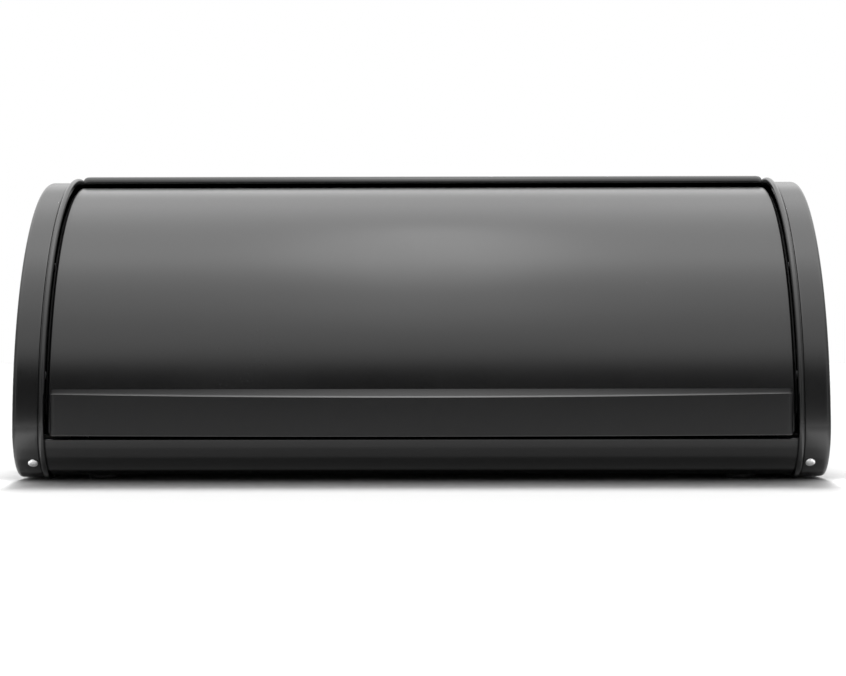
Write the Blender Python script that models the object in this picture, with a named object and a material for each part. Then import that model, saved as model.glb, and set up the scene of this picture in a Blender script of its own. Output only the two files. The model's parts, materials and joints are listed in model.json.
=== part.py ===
"""Roll-top bread bin: a folded sheet body with pressed end caps, and a curved lid that turns about two pins.

Metres, +Z up, the front faces -Y, the origin is on the table under the middle of the bin.
"""

from math import asin, cos, degrees, hypot, pi, radians, sin, sqrt

import bmesh
import bpy

MM = 0.001

# ---- overall size --------------------------------------------------------------------------------
HALF = 222.5
HEIGHT = 175.5
SHEET = 0.8
GAP = 0.3
SEAT_GAP = 0.05
CURVE_SEAT_GAP = 0.15

# ---- side outline of the end caps (the skirt; the bead stands proud of it) -----------------------
PIVOT_Y = 18.0
PIVOT_Z = 24.6
BEAD_PROUD = 2.6
BEAD_PROUD_BELOW = 1.2
SKIRT_RADIUS = 147.0
SKIRT_TOP = PIVOT_Z + SKIRT_RADIUS
SKIRT_BACK = 129.0
SKIRT_BOTTOM = 1.4
FRONT_CORNER = 28.5
REAR_TOP_CORNER = 24.0
REAR_BOTTOM_CORNER = 14.0
FRONT_STEPS = 32

# ---- end caps ------------------------------------------------------------------------------------
CAP_EDGE_RADIUS = 2.4
SKIRT_INNER_X = 207.6
BEAD_INNER_X = 204.7
BEAD_FOOT = 0.5

# ---- body sheets, tucked under the skirts --------------------------------------------------------
TUCK = SHEET + GAP
SHEET_END_X = 219.0
STEP_INNER_X = 198.5
STEP_OUTER_X = 204.4
STEP_STATIONS = 5
STEP_SQUARENESS = 4
STRIP_TOP_Z = 23.3
STRIP_TURN_IN = 3.0
STRIP_BEND = 0.6
NOSE_Y = 14.0
NOSE_RADIUS = 4.2
NOSE_DROP = 0.4
NOSE_STEPS = 7
BACK_LOW_Z = 17.0
BACK_MIDDLE_Z = 94.0
TOP_SPACING = 20.0
LIP_TOP_Z = 34.0

# ---- lid -----------------------------------------------------------------------------------------
LID_RADIUS = 143.8
LID_HALF = 203.6
LID_EDGE_RADIUS = 1.2
LID_FLANGE = 11.0
LID_LOW_DEG = 0.4
LID_HIGH_DEG = 93.0
LID_STEPS = 32
LID_CORNER = 2.5
LID_CORNER_STEPS = 5

# ---- lid arms and pivots -------------------------------------------------------------------------
ARM_INNER_X = 203.8
ARM_THICK = 1.2
ARM_RADIUS = 141.8
ARM_RIVET_RADIUS = 137.4
BOSS_SPREAD_DEG = 62.0
ARM_BOSS_RADIUS = 13.0
ARM_LOW_DEG = 5.0
ARM_HIGH_DEG = 81.0
BUSH_OUTER = 5.0
BUSH_FLANGE = 8.0
BUSH_FLANGE_THICK = 1.2
PIN_RADIUS = 3.0
RUNNING_CLEARANCE = 0.08
PIN_TIP = 1.2
PIN_CHAMFER = 0.5
GROOVE_DEPTH = 1.0
CLIP_BITE = 0.9
PIN_FLANGE_RADIUS = 9.0
PIN_FLANGE_THICK = 2.0
CLIP_RADIUS = 6.0
CLIP_THICK = 1.2
STOP_RADIUS = 3.0
OPEN_TRAVEL_DEG = 45.0
STOP_GAP = 0.3
STOP_ALONG_EDGE = 55.0
STOP_CHAMFER = 0.6
STOP_FLANGE_RADIUS = 5.5
STOP_FLANGE_THICK = 1.5

# ---- grip ----------------------------------------------------------------------------------------
GRIP_HALF = 201.8
GRIP_BOTTOM_Z = 25.2
GRIP_TOP_Z = 50.4
FACET_AT_ENDS = 2.4
FACET_IN_MIDDLE = 4.5
GRIP_BOTTOM_BOW = 0.6
GRIP_FRONT_Y = -131.5
GRIP_LEAN = 0.4
GRIP_STATIONS = 17
GRIP_LIP = 2.6
GRIP_GROOVE = 3.0
GRIP_LIP_ROUND = 0.9
GRIP_TOP_EDGE = 0.3
GRIP_SEAT = 0.15
GRIP_END_ROUND = 3.0
GRIP_END_STEPS = 4
GRIP_END_PINCH = 0.15
GRIP_LIP_PINCH = 0.5
CREASE_BEVEL = 0.35
SCREW_DEG = 5.5
SCREW_HEAD = 3.2
SCREW_HEAD_THICK = 1.7
SCREW_SHANK = 1.4
SCREW_REACH = 4.6
SCREW_FIT = 0.2
SCREW_CHAMFER = 0.6
SCREW_XS = (-150.0, -50.0, 50.0, 150.0)

# ---- rivets, screws and feet ---------------------------------------------------------------------
RIVET_HEAD = 2.8
RIVET_DOME = 1.3
RIVET_SHANK = 1.3
RIVET_HOLE = 1.6
RIVET_TAIL = 2.2
RIVET_TAIL_THICK = 1.0
ARM_RIVET_DOME = 0.9
RIVET_X = 212.0
FRONT_RIVET_Z = 10.2
REAR_RIVETS = (("low", 24.0), ("high", 132.0))
SEAM_RIVET_XS = (-130.0, 0.0, 130.0)
SEAM_RIVET_Z = 24.0
ARM_RIVET_DEGS = (14.0, 43.0, 72.0)
FOOT_RADIUS = 8.0
FOOT_X = 178.0
FOOT_YS = (-88.0, 100.0)
FOOT_STEM = 3.0
FOOT_BUTTON = 4.4
FOOT_BUTTON_THICK = 1.2
FOOT_CHAMFER = 0.8
FOOT_BUTTON_CHAMFER = 0.6
DRILL_BEYOND = 2.0
ROUND_STEPS = 16

MATERIALS = {
    "sheet_black": (0.018, 0.018, 0.019, 0.42, 0.0),
    "grip_black": (0.014, 0.014, 0.015, 0.5, 0.0),
    "bright_steel": (0.62, 0.62, 0.63, 0.28, 1.0),
    "dull_steel": (0.42, 0.42, 0.43, 0.42, 1.0),
    "foot_rubber": (0.02, 0.02, 0.021, 0.8, 0.0),
    "bush_plastic": (0.55, 0.54, 0.51, 0.5, 0.0),
}


# ---- scene helpers -------------------------------------------------------------------------------
def clear_scene():
    for obj in list(bpy.data.objects):
        bpy.data.objects.remove(obj, do_unlink=True)


def new_collection(name, hidden):
    collection = bpy.data.collections.new(name)
    bpy.context.scene.collection.children.link(collection)
    collection.hide_render = hidden
    return collection


def make_materials():
    made = {}
    for name, (red, green, blue, rough, metal) in MATERIALS.items():
        material = bpy.data.materials.new(name)
        material.use_nodes = True
        shader = material.node_tree.nodes["Principled BSDF"]
        shader.inputs["Base Color"].default_value = (red, green, blue, 1.0)
        shader.inputs["Roughness"].default_value = rough
        shader.inputs["Metallic"].default_value = metal
        material.diffuse_color = (red, green, blue, 1.0)
        made[name] = material
    return made


def mesh_object(name, points, faces, material, pivot=(0.0, 0.0, 0.0)):
    """An object from points in millimetres, its origin at pivot, with its faces turned outwards."""
    mesh = bpy.data.meshes.new(name)
    shifted = [tuple((p - o) * MM for p, o in zip(point, pivot)) for point in points]
    mesh.from_pydata(shifted, [], faces)
    work = bmesh.new()
    work.from_mesh(mesh)
    bmesh.ops.recalc_face_normals(work, faces=work.faces)
    work.to_mesh(mesh)
    work.free()
    obj = bpy.data.objects.new(name, mesh)
    obj.location = tuple(value * MM for value in pivot)
    if material is None:
        CUTTERS.objects.link(obj)
        obj.hide_render = True
        obj.display_type = "WIRE"
    else:
        BIN.objects.link(obj)
        obj.data.materials.append(MADE[material])
    return obj


def cut(obj, cutter):
    modifier = obj.modifiers.new("cut_" + cutter.name, "BOOLEAN")
    modifier.operation = "DIFFERENCE"
    modifier.solver = "EXACT"
    modifier.object = cutter


def lathe(name, profile, centre, axis, material, pivot=(0.0, 0.0, 0.0), steps=ROUND_STEPS):
    """A turned solid: profile is (radius, height) from bottom to top, both ends on the axis."""
    length = hypot(hypot(axis[0], axis[1]), axis[2])
    along = tuple(value / length for value in axis)
    helper = (0.0, 0.0, 1.0) if abs(along[2]) < 0.9 else (1.0, 0.0, 0.0)
    side = cross(helper, along)
    size = hypot(hypot(side[0], side[1]), side[2])
    side = tuple(value / size for value in side)
    other = cross(along, side)
    points = []
    rings = []
    for radius, height in profile:
        base = tuple(c + height * a for c, a in zip(centre, along))
        if radius == 0.0:
            rings.append([len(points)])
            points.append(base)
            continue
        ring = []
        for k in range(steps):
            turn = 2 * pi * k / steps
            ring.append(len(points))
            points.append(
                tuple(b + radius * (cos(turn) * s + sin(turn) * o) for b, s, o in zip(base, side, other))
            )
        rings.append(ring)
    return mesh_object(name, points, ring_faces(rings), material, pivot)


def cross(a, b):
    return (a[1] * b[2] - a[2] * b[1], a[2] * b[0] - a[0] * b[2], a[0] * b[1] - a[1] * b[0])


def ring_faces(rings):
    """Faces between neighbouring closed rings; a ring of one point closes to that point."""
    faces = []
    for first, second in zip(rings, rings[1:]):
        count = max(len(first), len(second))
        for k in range(count):
            corners = [first[k % len(first)], first[(k + 1) % len(first)]]
            corners += [second[(k + 1) % len(second)], second[k % len(second)]]
            faces.append(tuple(dict.fromkeys(corners)))
    return faces


# ---- side outlines, as (y, z) points -------------------------------------------------------------
def arc(centre, radius, start_deg, end_deg, steps):
    """Angles run from straight ahead (-Y) upwards."""
    found = []
    for k in range(steps + 1):
        turn = radians(start_deg + (end_deg - start_deg) * k / steps)
        found.append((centre[0] - radius * cos(turn), centre[1] + radius * sin(turn)))
    return found


def front_corner(bottom, radius, corner):
    """Centre of the low front corner and the angle at which it meets the main front curve."""
    centre_z = bottom + corner
    meet = asin((centre_z - PIVOT_Z) / (radius - corner))
    centre_y = PIVOT_Y - (radius - corner) * cos(meet)
    return (centre_y, centre_z), degrees(meet)


def cap_outline(offset):
    """The closed D of an end cap, offset outwards by this much."""
    below = BEAD_PROUD_BELOW / BEAD_PROUD if offset > 0 else 1.0
    bottom = SKIRT_BOTTOM - offset * below
    radius = SKIRT_RADIUS + offset
    corner = FRONT_CORNER + offset
    centre, meet = front_corner(bottom, radius, corner)
    back = SKIRT_BACK + offset
    top = PIVOT_Z + radius
    high = REAR_TOP_CORNER + offset
    low = REAR_BOTTOM_CORNER + offset
    path = arc(centre, corner, -90.0, meet, 10)
    path += arc((PIVOT_Y, PIVOT_Z), radius, meet, 90.0, FRONT_STEPS)[1:]
    path += arc((back - high, top - high), high, 90.0, 180.0, 8)
    path += arc((back - low, bottom + low), low, 180.0, 270.0, 5)
    return path


def offset_path(path, amount):
    """The open path moved sideways by amount, to the left of its direction when positive."""
    moved = []
    for index, (y, z) in enumerate(path):
        before = path[max(index - 1, 0)]
        after = path[min(index + 1, len(path) - 1)]
        first = unit(before, (y, z)) or unit((y, z), after)
        second = unit((y, z), after) or first
        normal = (-(first[1] + second[1]), first[0] + second[0])
        size = hypot(*normal)
        normal = (normal[0] / size, normal[1] / size)
        spread = max(normal[0] * -first[1] + normal[1] * first[0], 0.3)
        moved.append((y + normal[0] * amount / spread, z + normal[1] * amount / spread))
    return moved


def unit(start, end):
    size = hypot(end[0] - start[0], end[1] - start[1])
    if size < 1e-9:
        return None
    return ((end[0] - start[0]) / size, (end[1] - start[1]) / size)


def sheet(name, stations, thickness, material, pivot=(0.0, 0.0, 0.0)):
    """A bent sheet lofted across the bin: each station is (x, centre line), all with equal counts."""
    points = []
    sections = []
    for x, path in stations:
        outer = offset_path(path, thickness / 2)
        inner = offset_path(path, -thickness / 2)
        start = len(points)
        points += [(x, y, z) for y, z in outer]
        points += [(x, y, z) for y, z in reversed(inner)]
        sections.append(list(range(start, len(points))))
    faces = ring_faces(sections)
    for section in (sections[0], sections[-1]):
        count = len(section)
        for k in range(count // 2 - 1):
            faces.append((section[k], section[k + 1], section[count - 2 - k], section[count - 1 - k]))
    return mesh_object(name, points, faces, material, pivot)


# ---- end caps ------------------------------------------------------------------------------------
def cap_section():
    """(x, offset) round the wall of an end cap, from the outer face over the bead and back inside."""
    edge = CAP_EDGE_RADIUS
    bead = BEAD_INNER_X
    skirt = SKIRT_INNER_X
    roof = (skirt - bead) / 2
    section = []
    for k in range(4):
        turn = radians(90.0 * k / 3)
        section.append((HALF - edge + edge * cos(turn), -edge + edge * sin(turn)))
    section.append((skirt + BEAD_FOOT, 0.0))
    section.append((skirt, BEAD_FOOT / 2))
    for k in range(6):
        turn = radians(180.0 * k / 5)
        across = bead + roof + roof * cos(turn)
        section.append((across, BEAD_PROUD - roof + roof * sin(turn)))
    section.append((bead, -SHEET))
    section.append((bead + SHEET, -SHEET))
    section.append((bead + SHEET, BEAD_PROUD - roof))
    section.append((bead + roof, BEAD_PROUD - SHEET))
    section.append((skirt - SHEET, BEAD_PROUD - roof))
    section.append((skirt - SHEET, -SHEET))
    inner_edge = edge - SHEET
    for k in range(3):
        turn = radians(90.0 - 90.0 * k / 2)
        section.append((HALF - edge + inner_edge * cos(turn), -edge + inner_edge * sin(turn)))
    return section


def make_end_cap(name, side):
    points = []
    rings = []
    for x, offset in cap_section():
        ring = cap_outline(offset)
        start = len(points)
        points += [(side * x, y, z) for y, z in ring]
        rings.append(list(range(start, len(points))))
    faces = ring_faces(rings)
    faces.append(tuple(rings[0]))
    faces.append(tuple(rings[-1]))
    return mesh_object(name, points, faces, "sheet_black")


# ---- body sheets ---------------------------------------------------------------------------------
def nose_path(raised):
    """Centre line of the top's rounded front edge, from its lower end up to the flat top.

    raised goes from 1, the full quarter round, to 0, a flat edge.
    """
    half = SHEET / 2
    bend = NOSE_RADIUS - half
    low = NOSE_DROP + bend
    start = NOSE_Y + half
    path = [(start, -low)]
    path += [(NOSE_Y + NOSE_RADIUS + y, z - bend) for y, z in arc((0.0, 0.0), bend, 0.0, 90.0, NOSE_STEPS)]
    found = []
    for k, (y, z) in enumerate(path):
        flat = start + bend * k / (len(path) - 1)
        found.append((y * raised + flat * (1 - raised), z * raised))
    return found


def back_top_path(raised):
    """Centre line of the back and top panel: nose, top, rear bend and back wall.

    raised is 0 under an end cap's skirt, where the line follows the skirt down at the front.
    """
    half = SHEET / 2
    below = TUCK + half
    tucked_top = SKIRT_TOP - below
    top = tucked_top + (HEIGHT - half - tucked_top) * raised
    back = SKIRT_BACK - below
    corner = REAR_TOP_CORNER - (below + (half - below) * raised)
    path = [(y, top + z) for y, z in nose_path(raised)]
    path += [(PIVOT_Y + TOP_SPACING * k, top) for k in range(1, 4)]
    if raised == 0:
        path = [(y, under_skirt(y, SKIRT_RADIUS - below)) for y, _ in path]
    path += arc((back - corner, top - corner), corner, 90.0, 180.0, 10)
    path += [(back, BACK_MIDDLE_Z), (back, LIP_TOP_Z), (back, BACK_LOW_Z)]
    return path


def under_skirt(y, radius):
    """Height of the front curve of this radius at y, or of its flat top behind the pins."""
    return PIVOT_Z + sqrt(radius**2 - min(y - PIVOT_Y, 0.0) ** 2)


def make_back_top_panel():
    stations = [(SHEET_END_X, back_top_path(0.0))]
    for k in range(STEP_STATIONS + 1):
        share = 1.0 - cos(pi / 2 * k / STEP_STATIONS)
        x = STEP_OUTER_X + (STEP_INNER_X - STEP_OUTER_X) * share
        raised = (1.0 - (1.0 - share) ** STEP_SQUARENESS) ** (1.0 / STEP_SQUARENESS)
        stations.append((x, back_top_path(raised)))
    mirrored = [(-x, path) for x, path in stations]
    return sheet("back_top_panel", mirrored + stations[::-1], SHEET, "sheet_black")


def base_path():
    """Centre line of the base panel: front strip, low front corner, bottom, rear lip."""
    inset = TUCK + SHEET / 2
    bottom = SKIRT_BOTTOM + inset
    radius = SKIRT_RADIUS - inset
    corner = FRONT_CORNER - inset
    centre, _ = front_corner(bottom, radius, corner)
    back = SKIRT_BACK - TUCK - SHEET - GAP - SHEET / 2
    low = REAR_BOTTOM_CORNER - inset
    bend = STRIP_BEND
    meet = asin((STRIP_TOP_Z - bend - centre[1]) / (corner - bend))
    bend_centre = (centre[0] - (corner - bend) * cos(meet), STRIP_TOP_Z - bend)
    path = [(bend_centre[0] + STRIP_TURN_IN - bend, STRIP_TOP_Z)]
    path += arc(bend_centre, bend, 90.0, degrees(meet), 4)
    path += arc(centre, corner, degrees(meet), -90.0, 14)[1:]
    path += arc((back - low, bottom + low), low, 270.0, 180.0, 8)
    path.append((back, LIP_TOP_Z))
    return path


def make_base_panel():
    path = base_path()
    stations = [(x, path) for x in (-SHEET_END_X, SHEET_END_X)]
    return sheet("base_panel", stations, SHEET, "sheet_black")


# ---- lid -----------------------------------------------------------------------------------------
PIVOT = (0.0, PIVOT_Y, PIVOT_Z)


def lid_section(half):
    """(x, radius) round the lid's sheet: the curved face with both sides turned in as flanges."""
    outer = []
    inner = []
    bend = LID_EDGE_RADIUS
    for side in (-1, 1):
        turned = [(side * half, LID_RADIUS - LID_FLANGE)]
        turned_in = [(side * (half - SHEET), LID_RADIUS - LID_FLANGE)]
        for k in range(5):
            turn = radians(90.0 * k / 4)
            across = half - bend + bend * cos(turn)
            turned.append((side * across, LID_RADIUS - bend + bend * sin(turn)))
            across = half - bend + (bend - SHEET) * cos(turn)
            turned_in.append((side * across, LID_RADIUS - bend + (bend - SHEET) * sin(turn)))
        outer += turned if side < 0 else turned[::-1]
        inner += turned_in if side < 0 else turned_in[::-1]
    return outer + inner[::-1]


def lid_stations():
    """(angle, half width) up the lid, close together where its low corners are rounded."""
    corner_deg = degrees(LID_CORNER / LID_RADIUS)
    stations = []
    for k in range(LID_CORNER_STEPS):
        turn = radians(90.0 * k / LID_CORNER_STEPS)
        rise = corner_deg * (1.0 - cos(turn))
        stations.append((LID_LOW_DEG + rise, LID_HALF - LID_CORNER * (1.0 - sin(turn))))
    start = LID_LOW_DEG + corner_deg
    for k in range(LID_STEPS + 1):
        stations.append((start + (LID_HIGH_DEG - start) * k / LID_STEPS, LID_HALF))
    return stations


def make_lid_panel():
    points = []
    rings = []
    for turn_deg, half in lid_stations():
        start = len(points)
        for x, radius in lid_section(half):
            y, z = on_circle(radius, turn_deg)
            points.append((x, y, z))
        rings.append(list(range(start, len(points))))
    faces = ring_faces(rings)
    for ring in (rings[0], rings[-1]):
        count = len(ring)
        for k in range(count // 2 - 1):
            faces.append((ring[k], ring[k + 1], ring[count - 2 - k], ring[count - 1 - k]))
    return mesh_object("lid_panel", points, faces, "sheet_black", PIVOT)


def arm_outline():
    """A sector plate: a round boss on the pivot, spreading to the curve inside the lid's sheet."""
    centre = (PIVOT_Y, PIVOT_Z)
    outline = arc(centre, ARM_RADIUS, ARM_LOW_DEG, ARM_HIGH_DEG, 24)
    boss_start = ARM_HIGH_DEG + BOSS_SPREAD_DEG
    boss_end = 360.0 + ARM_LOW_DEG - BOSS_SPREAD_DEG
    return outline + arc(centre, ARM_BOSS_RADIUS, boss_start, boss_end, 18)


def make_lid_arm(name, side):
    outline = arm_outline()
    near = side * ARM_INNER_X
    far = side * (ARM_INNER_X + ARM_THICK)
    points = [(near, y, z) for y, z in outline] + [(far, y, z) for y, z in outline]
    count = len(outline)
    rings = [list(range(count)), list(range(count, 2 * count))]
    faces = ring_faces(rings) + [tuple(rings[0]), tuple(rings[1])]
    arm = mesh_object(name, points, faces, "sheet_black", PIVOT)
    through = ARM_THICK + DRILL_BEYOND
    pivot = (near, PIVOT_Y, PIVOT_Z)
    drill(name + "_hole", arm, pivot, (side, 0.0, 0.0), BUSH_OUTER + GAP / 2, -DRILL_BEYOND, through)
    return arm


def make_pivot(side, label):
    """The bush in the arm, the pin fixed to the end cap and the clip that keeps the arm on it."""
    arm_far = ARM_INNER_X + ARM_THICK
    bore = PIN_RADIUS + RUNNING_CLEARANCE
    flange = BUSH_FLANGE_THICK
    bush_start = ARM_INNER_X - GAP
    bush_end = arm_far + GAP + flange
    outer_profile = [
        (bore, 0.0),
        (BUSH_OUTER, 0.0),
        (BUSH_OUTER, bush_end - flange - bush_start),
        (BUSH_FLANGE, bush_end - flange - bush_start),
        (BUSH_FLANGE, bush_end - bush_start),
        (bore, bush_end - bush_start),
    ]
    tube(
        "pivot_bush_" + label,
        outer_profile,
        (side * bush_start, PIVOT_Y, PIVOT_Z),
        (side, 0.0, 0.0),
        "bush_plastic",
        PIVOT,
    )
    pin_end = bush_start - GAP - CLIP_THICK - PIN_TIP
    groove_low = bush_start - GAP - CLIP_THICK
    groove_high = bush_start - GAP
    length = HALF - SHEET - SEAT_GAP - pin_end
    lathe(
        "pivot_pin_" + label,
        [
            (0.0, 0.0),
            (PIN_RADIUS - PIN_CHAMFER, 0.0),
            (PIN_RADIUS, PIN_CHAMFER),
            (PIN_RADIUS, groove_low - SEAT_GAP - pin_end),
            (PIN_RADIUS - GROOVE_DEPTH, groove_low - SEAT_GAP - pin_end),
            (PIN_RADIUS - GROOVE_DEPTH, groove_high + SEAT_GAP - pin_end),
            (PIN_RADIUS, groove_high + SEAT_GAP - pin_end),
            (PIN_RADIUS, length - PIN_FLANGE_THICK),
            (PIN_FLANGE_RADIUS, length - PIN_FLANGE_THICK),
            (PIN_FLANGE_RADIUS, length),
            (0.0, length),
        ],
        (side * pin_end, PIVOT_Y, PIVOT_Z),
        (side, 0.0, 0.0),
        "dull_steel",
        steps=24,
    )
    tube(
        "pivot_clip_" + label,
        [
            (PIN_RADIUS - CLIP_BITE, 0.0),
            (CLIP_RADIUS, 0.0),
            (CLIP_RADIUS, CLIP_THICK),
            (PIN_RADIUS - CLIP_BITE, CLIP_THICK),
        ],
        (side * groove_low, PIVOT_Y, PIVOT_Z),
        (side, 0.0, 0.0),
        "dull_steel",
    )


def tube(name, profile, centre, axis, material, pivot=(0.0, 0.0, 0.0), steps=24):
    """A turned ring: profile is a closed loop of (radius, height) that doesn't touch the axis."""
    points = []
    rings = []
    along = tuple(axis)
    for k in range(steps):
        turn = 2 * pi * k / steps
        ring = []
        for radius, height in profile:
            ring.append(len(points))
            points.append(
                (
                    centre[0] + along[0] * height,
                    centre[1] + radius * cos(turn),
                    centre[2] + radius * sin(turn),
                )
            )
        rings.append(ring)
    rings.append(rings[0])
    return mesh_object(name, points, ring_faces(rings), material, pivot)


def on_circle(radius, turn_deg):
    turn = radians(turn_deg)
    return PIVOT_Y - radius * cos(turn), PIVOT_Z + radius * sin(turn)


def arm_edge(turned_deg, upper):
    """The two ends of an arm's straight edge, boss end first, after the lid has turned this far."""
    spread = BOSS_SPREAD_DEG if upper else -BOSS_SPREAD_DEG
    edge = (ARM_HIGH_DEG if upper else ARM_LOW_DEG) + turned_deg
    return on_circle(ARM_BOSS_RADIUS, edge + spread), on_circle(ARM_RADIUS, edge)


def make_stop_pin(name, side, turned_deg, upper):
    """A stud on the end cap just clear of the edge of the arm, which lands on it."""
    near, far = arm_edge(turned_deg, upper)
    along = unit(near, far)
    away = (along[1], -along[0]) if upper else (-along[1], along[0])
    reach = STOP_RADIUS + STOP_GAP
    y = near[0] + along[0] * STOP_ALONG_EDGE + away[0] * reach
    z = near[1] + along[1] * STOP_ALONG_EDGE + away[1] * reach
    start = ARM_INNER_X - GAP
    length = HALF - SHEET - SEAT_GAP - start
    profile = [
        (0.0, 0.0),
        (STOP_RADIUS - STOP_CHAMFER, 0.0),
        (STOP_RADIUS, STOP_CHAMFER),
        (STOP_RADIUS, length - STOP_FLANGE_THICK),
        (STOP_FLANGE_RADIUS, length - STOP_FLANGE_THICK),
        (STOP_FLANGE_RADIUS, length),
        (0.0, length),
    ]
    return lathe(name, profile, (side * start, y, z), (side, 0.0, 0.0), "dull_steel")


# ---- rivets, screws and feet ---------------------------------------------------------------------
def rivet_profile(head, dome, shank, tail, stack, seat):
    """Tail to head; height 0 is the outer face of the sheets, which are stack thick together."""
    profile = [(0.0, -stack - seat - RIVET_TAIL_THICK), (tail, -stack - seat - RIVET_TAIL_THICK)]
    profile += [(tail, -stack - seat), (shank, -stack - seat), (shank, SEAT_GAP), (head, SEAT_GAP)]
    for k in range(1, 4):
        turn = radians(90.0 * k / 4)
        profile.append((head * cos(turn), SEAT_GAP + dome * sin(turn)))
    profile.append((0.0, SEAT_GAP + dome))
    return profile


def drill(name, obj, point, axis, radius, low, high):
    """A round hole along axis through obj, from low to high about point."""
    start = tuple(p + low * a for p, a in zip(point, axis))
    length = high - low
    profile = [(0.0, 0.0), (radius, 0.0), (radius, length), (0.0, length)]
    cut(obj, lathe(name, profile, start, axis, None, steps=ROUND_STEPS))


def make_rivet(name, point, axis, stack, sheets, seat=CURVE_SEAT_GAP):
    """A bright dome rivet through the sheets at point, its head towards axis."""
    profile = rivet_profile(RIVET_HEAD, RIVET_DOME, RIVET_SHANK, RIVET_TAIL, stack, seat)
    lathe(name, profile, point, axis, "bright_steel")
    for sheet_obj in sheets:
        hole = f"{name}_hole_{sheet_obj.name}"
        drill(hole, sheet_obj, point, axis, RIVET_HOLE, -stack - DRILL_BEYOND, DRILL_BEYOND)


def make_cap_rivets(side, label, cap, base, back):
    corner, _ = front_corner(SKIRT_BOTTOM, SKIRT_RADIUS, FRONT_CORNER)
    turn = asin((FRONT_RIVET_Z - corner[1]) / FRONT_CORNER)
    axis = (0.0, -cos(turn), sin(turn))
    point = (side * RIVET_X, corner[0] + FRONT_CORNER * axis[1], FRONT_RIVET_Z)
    two_sheets = 2 * SHEET + GAP
    make_rivet("cap_rivet_front_" + label, point, axis, two_sheets, (cap, base))
    for level, z in REAR_RIVETS:
        sheets = (cap, back, base) if z < LIP_TOP_Z else (cap, back)
        stack = two_sheets + (SHEET + GAP if z < LIP_TOP_Z else 0.0)
        point = (side * RIVET_X, SKIRT_BACK, z)
        make_rivet(f"cap_rivet_rear_{level}_{label}", point, (0.0, 1.0, 0.0), stack, sheets)


def make_seam_rivets(base, back):
    for label, x in zip(("left", "middle", "right"), SEAM_RIVET_XS):
        point = (x, SKIRT_BACK - TUCK, SEAM_RIVET_Z)
        make_rivet("seam_rivet_" + label, point, (0.0, 1.0, 0.0), 2 * SHEET + GAP, (back, base))


def make_arm_rivets(side, label, arm, lid):
    """Rivets of the lid's flange to the arm, heads inside the bin."""
    flange_inner = LID_HALF - SHEET
    stack = ARM_INNER_X + ARM_THICK - flange_inner
    profile = rivet_profile(RIVET_TAIL, ARM_RIVET_DOME, RIVET_SHANK, RIVET_TAIL, stack, SEAT_GAP)
    for index, turn_deg in enumerate(ARM_RIVET_DEGS, 1):
        y, z = on_circle(ARM_RIVET_RADIUS, turn_deg)
        point = (side * flange_inner, y, z)
        axis = (-side, 0.0, 0.0)
        name = f"arm_rivet_{label}_{index}"
        lathe(name, profile, point, axis, "dull_steel", PIVOT, steps=12)
        for plate in (arm, lid):
            hole = f"{name}_hole_{plate.name}"
            drill(hole, plate, point, axis, RIVET_HOLE, -stack - DRILL_BEYOND, DRILL_BEYOND)


def make_foot(name, x, y, base):
    """A push-in rubber foot: a disc under the base panel and a button above it."""
    under = SKIRT_BOTTOM + TUCK - SEAT_GAP
    over = SKIRT_BOTTOM + TUCK + SHEET + SEAT_GAP
    profile = [(0.0, 0.0), (FOOT_RADIUS - FOOT_CHAMFER, 0.0), (FOOT_RADIUS, FOOT_CHAMFER)]
    profile += [(FOOT_RADIUS, under), (FOOT_STEM, under), (FOOT_STEM, over), (FOOT_BUTTON, over)]
    profile += [(FOOT_BUTTON - FOOT_BUTTON_CHAMFER, over + FOOT_BUTTON_THICK)]
    profile += [(0.0, over + FOOT_BUTTON_THICK)]
    lathe(name, profile, (x, y, 0.0), (0.0, 0.0, 1.0), "foot_rubber", steps=20)
    up = (0.0, 0.0, 1.0)
    drill(name + "_hole", base, (x, y, under), up, FOOT_STEM + GAP, -DRILL_BEYOND, TUCK + DRILL_BEYOND)


# ---- grip ----------------------------------------------------------------------------------------
def lid_front_y(radius, z):
    return PIVOT_Y - sqrt(radius**2 - (z - PIVOT_Z) ** 2)


def grip_section(x, inset):
    """The grip's side shape at x: bevelled top, flat front, rounded lip and the back on the lid."""
    bow = 1.0 - (x / GRIP_HALF) ** 2
    facet = FACET_AT_ENDS + (FACET_IN_MIDDLE - FACET_AT_ENDS) * bow
    bottom = GRIP_BOTTOM_Z - GRIP_BOTTOM_BOW * bow + inset * GRIP_END_PINCH
    top = GRIP_TOP_Z - inset * GRIP_END_PINCH
    crease = GRIP_TOP_Z - facet
    front = GRIP_FRONT_Y + inset
    face = front + GRIP_LEAN
    seat = LID_RADIUS + GRIP_SEAT
    back_low = bottom + GRIP_GROOVE
    lean = GRIP_LEAN / (crease - bottom)
    corner = GRIP_LIP_ROUND * (1.0 - sin(pi / 4))
    lip = GRIP_LIP - inset * GRIP_LIP_PINCH
    section = [
        (lid_front_y(seat, top), top),
        (lid_front_y(seat, top) - GRIP_TOP_EDGE, top),
        (face + CREASE_BEVEL, crease + CREASE_BEVEL),
        (face, crease),
        (face - lean * CREASE_BEVEL, crease - CREASE_BEVEL),
        (front, bottom + GRIP_LIP_ROUND),
        (front + corner, bottom + corner),
        (front + GRIP_LIP_ROUND, bottom),
        (front + lip, bottom),
        (front + lip, back_low),
        (lid_front_y(seat, back_low), back_low),
    ]
    for k in range(1, 6):
        z = back_low + (top - back_low) * k / 6
        section.append((lid_front_y(seat, z), z))
    return section


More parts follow.
